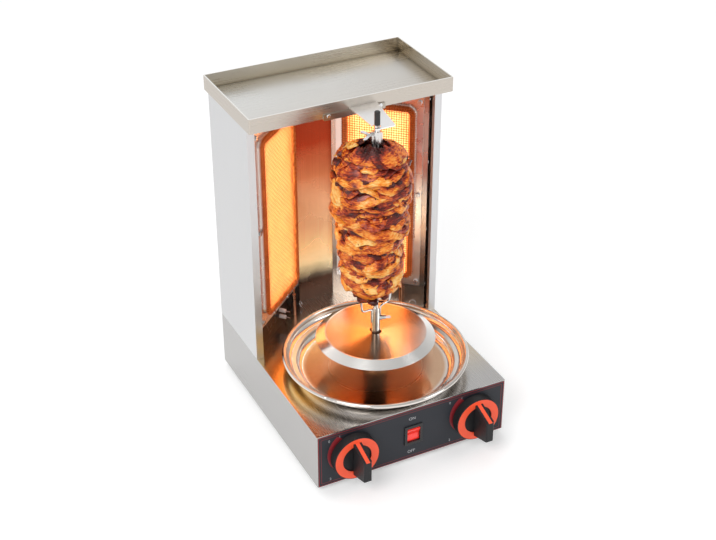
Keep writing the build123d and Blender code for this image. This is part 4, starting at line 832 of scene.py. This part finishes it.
# ---------------------------------------------------------------- meat
# Marinated slices pushed down the skewer one on another. Each slice droops and curls at its edge, where it
# is charred. Between the edges the meat is orange and pale, and the folds between the slices are painted
# dark as shade.
meat_low, meat_high = 0.2310, 0.4570
meat_x, meat_y = -0.007, -0.0536
rng = random.Random(41)
profile = ((0.0, 0.029), (0.04, 0.0365), (0.10, 0.0385), (0.22, 0.0420), (0.39, 0.0455), (0.55, 0.0485),
           (0.68, 0.0505), (0.77, 0.0515), (0.86, 0.0495), (0.94, 0.0405), (1.0, 0.022))


def stack_radius(z, angle):
    """Radius of the lumpy stack at a height and an angle."""
    share = min(max((z - meat_low) / (meat_high - meat_low), 0.0), 1.0)
    for (low, first), (high, second) in zip(profile, profile[1:]):
        if share <= high:
            smooth = first + (second - first) * (share - low) / (high - low)
            break
    return smooth + 0.0050 * noise.noise(Vector((math.cos(angle) * 1.5, math.sin(angle) * 1.5, z * 34)))


points, faces, marks = [], [], []


def keep_patch(count_u, count_v, surface):
    """Add one closed patch with a front and a back layer, and mark each of its points."""
    start = len(points)
    for layer in (0, 1):
        for j in range(count_v):
            for i in range(count_u):
                point, mark = surface(i / (count_u - 1), j / (count_v - 1), layer)
                points.append(point)
                marks.append(mark)

    def at(i, j, layer):
        return start + layer * count_u * count_v + j * count_u + i
    for j in range(count_v - 1):
        for i in range(count_u - 1):
            faces.append((at(i, j, 0), at(i + 1, j, 0), at(i + 1, j + 1, 0), at(i, j + 1, 0)))
            faces.append((at(i, j + 1, 1), at(i + 1, j + 1, 1), at(i + 1, j, 1), at(i, j, 1)))
    for i in range(count_u - 1):
        faces.append((at(i + 1, 0, 0), at(i, 0, 0), at(i, 0, 1), at(i + 1, 0, 1)))
        faces.append((at(i, count_v - 1, 0), at(i + 1, count_v - 1, 0), at(i + 1, count_v - 1, 1),
                      at(i, count_v - 1, 1)))
    for j in range(count_v - 1):
        faces.append((at(0, j, 0), at(0, j + 1, 0), at(0, j + 1, 1), at(0, j, 1)))
        faces.append((at(count_u - 1, j + 1, 0), at(count_u - 1, j, 0), at(count_u - 1, j, 1),
                      at(count_u - 1, j + 1, 1)))


def place_on_stack(angle, z, radius):
    """A point of the stack from its angle, height and radius."""
    return Vector((meat_x + radius * math.cos(angle), meat_y + radius * math.sin(angle), z))


def painted_fold_shade(angle, z, radius):
    """How deep a point lies in the folds, which sets the painted shade there: 0 on the crests, 1 in the
    gaps.
    """
    return min(max((stack_radius(z, angle) + 0.0022 - radius) / 0.0075, 0.0), 1.0)


slices, golden_turn = 400, 2.39996
points_across, points_down = 25, 7
for index in range(slices):
    share = (index + 0.5) / slices
    middle_z = meat_low + 0.002 + (meat_high - meat_low - 0.004) * share
    middle_angle = index * golden_turn + rng.uniform(-0.6, 0.6)
    width = rng.uniform(0.60, 2.00)
    tall = rng.uniform(0.0080, 0.0150)
    slope = rng.uniform(-0.010, 0.010)
    sag = rng.uniform(-0.003, 0.009)
    flare = rng.uniform(0.0015, 0.0082)
    stand = rng.uniform(-0.0064, 0.0012)
    seed = rng.uniform(0, 80)
    crinkle = rng.uniform(0.0006, 0.0018)
    thick = rng.uniform(0.0020, 0.0036)
    tone = rng.random()

    def surface(u, v, layer):
        """A point of this slice, marked with its burnt edge, tone and the depth that sets its painted
        shade.
        """
        across = 2 * u - 1
        taper = max(0.10, 1 - abs(across) ** 2.6) ** 0.5
        angle = middle_angle + across * width / 2
        z = middle_z + (v - 0.5) * tall * taper + slope * across - sag * (0.6 - across ** 2)
        z += 0.0048 * noise.noise(Vector((across * width * 1.7 + seed, v * 0.6, seed)))
        z += 0.0010 * noise.noise(Vector((across * width * 6.0 + seed, seed, v)))
        z = min(max(z, meat_low), meat_high)
        out = flare * (1 - v) ** 1.5 + 0.0018 * math.sin(v * math.pi) - 0.0080 * abs(across) ** 4
        out += crinkle * noise.noise(Vector((across * width * 5 + seed, v * 2.5, seed * 2)))
        out += 0.0005 * noise.noise(Vector((across * width * 14 + seed, v * 9.0, seed)))
        radius = stack_radius(z, angle) + stand + out - layer * thick
        burnt = max(0.0, 1 - v * 4.0) * 0.6 + max(0.0, abs(across) - 0.7) * 1.6
        return place_on_stack(angle, z, radius), (min(burnt, 1.0), tone, painted_fold_shade(angle, z, radius), 1.0)
    keep_patch(points_across, points_down, surface)

# Crisp burnt lumps that stand out of the stack, most of them at its top
lumps = [(2.45, 0.438, 0.0085), (2.70, 0.430, 0.0090), (2.95, 0.434, 0.0070), (2.30, 0.444, 0.0075),
         (-0.50, 0.430, 0.0072), (-0.35, 0.436, 0.0064), (-2.20, 0.424, 0.0060), (-1.55, 0.420, 0.0066),
         (2.75, 0.392, 0.0064), (2.60, 0.384, 0.0052), (-0.45, 0.372, 0.0050), (-2.5, 0.228, 0.0078),
         (-2.9, 0.232, 0.0070), (-1.9, 0.224, 0.0070), (-1.2, 0.228, 0.0064)]
small_lumps = 46
lumps += [(rng.uniform(-math.pi, math.pi), rng.uniform(meat_low + 0.01, meat_high - 0.014),
           rng.uniform(0.003, 0.0052)) for _ in range(small_lumps)]
for middle_angle, middle_z, size in lumps:
    seed = rng.uniform(0, 80)
    centre = place_on_stack(middle_angle, middle_z, stack_radius(middle_z, middle_angle) - size * 0.25)
    start, around, stacks = len(points), 14, 9
    for j in range(stacks + 1):
        for i in range(around):
            tip, turn = math.pi * j / stacks, 2 * math.pi * i / around
            way = Vector((math.sin(tip) * math.cos(turn), math.sin(tip) * math.sin(turn),
                          math.cos(tip) * 0.7))
            rough = 1 + 0.55 * noise.noise(way * 2.2 + Vector((seed, seed, 0)))
            rough += 0.25 * noise.noise(way * 5.5)
            points.append(centre + way * size * rough)
            marks.append((1.0, 0.1 + 0.3 * rng.random(), 0.35, 1.0))
    for j in range(stacks):
        for i in range(around):
            a, b = start + j * around + i, start + j * around + (i + 1) % around
            faces.append((a, a + around, b + around, b))

# Core that closes the gaps between the slices, marked deepest so that it takes the darkest painted shade
ring, levels, under = 48, 60, 0.0065
start = len(points)
for level in range(levels + 1):
    z = meat_low + 0.0015 + (meat_high - meat_low - 0.004) * level / levels
    cap = min(1.0, 0.30 + 9 * min(level, levels - level) / levels)
    for step in range(ring):
        angle = 2 * math.pi * step / ring
        points.append(place_on_stack(angle, z, (stack_radius(z, angle) - under) * cap))
        marks.append((0.25, 0.3, 1.0, 1.0))
for level in range(levels):
    for step in range(ring):
        a, b = start + level * ring + step, start + level * ring + (step + 1) % ring
        faces.append((a, b, b + ring, a + ring))
faces.append(tuple(reversed(range(start, start + ring))))
faces.append(tuple(range(start + levels * ring, start + (levels + 1) * ring)))

roast, tree, shader = start_material("roasted meat")
spot = add(tree, "TexCoord").outputs["Object"]
marked = add(tree, "SeparateColor", {0: add(tree, "VertexColor", layer_name="RoastAndShade").outputs[0]}).outputs
patches = mottle(tree, 44.0, 5.0, spot, rough=0.55)
stringy = times(tree, spot, (150.0, 150.0, 850.0))
fibres = mottle(tree, 1.0, 5.0, stringy, rough=0.6)
cooked_and_shade = maths(tree, "MULTIPLY_ADD", marked[1], 0.62, 0.24)
cooked_and_shade = maths(tree, "MULTIPLY_ADD", maths(tree, "SUBTRACT", patches, 0.5), 1.7, cooked_and_shade)
cooked_and_shade = maths(tree, "MULTIPLY_ADD", maths(tree, "SUBTRACT", fibres, 0.5), 1.4, cooked_and_shade)
# painted shade: darker the deeper a point lies in the folds
cooked_and_shade = maths(tree, "MULTIPLY_ADD", marked[2], -0.80, cooked_and_shade)
flesh = ramp(tree, cooked_and_shade, (
    (0.0, (0.075, 0.006, 0.003)), (0.20, (0.24, 0.016, 0.004)), (0.38, (0.52, 0.065, 0.006)),
    (0.56, (0.80, 0.19, 0.012)), (0.76, (0.92, 0.36, 0.045)), (1.0, (0.96, 0.60, 0.20))))
char = maths(tree, "MULTIPLY_ADD", maths(tree, "SUBTRACT", patches, 0.5), -1.9, maths(
    tree, "MULTIPLY", marked[0], 0.55))
char = spread(tree, char, 0.22, 0.70)
feed(tree, shader, {
    "Base Color": blend(tree, char, flesh, (0.055, 0.008, 0.008)),
    "Subsurface Weight": 0.08, "Subsurface Radius": (0.006, 0.002, 0.001), "Subsurface Scale": 0.5,
    "Roughness": spread(tree, fibres, 0.3, 0.7, 0.20, 0.46),
    "Specular IOR Level": 0.3,
    "Coat Weight": spread(tree, patches, 0.42, 0.66, 0.0, 0.5),
    "Coat Roughness": 0.14,
    "Normal": relief(tree, maths(tree, "MULTIPLY_ADD", fibres, 0.8, patches), 0.5, 0.0014)})

meat = place_mesh("roasted_slices", points, faces, roast, "skewer")
colours = meat.data.color_attributes.new("RoastAndShade", "FLOAT_COLOR", "POINT")
colours.data.foreach_set("color", np.array(marks, np.float32).ravel())
for face in meat.data.polygons:
    face.use_smooth = True
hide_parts("meat_stack")
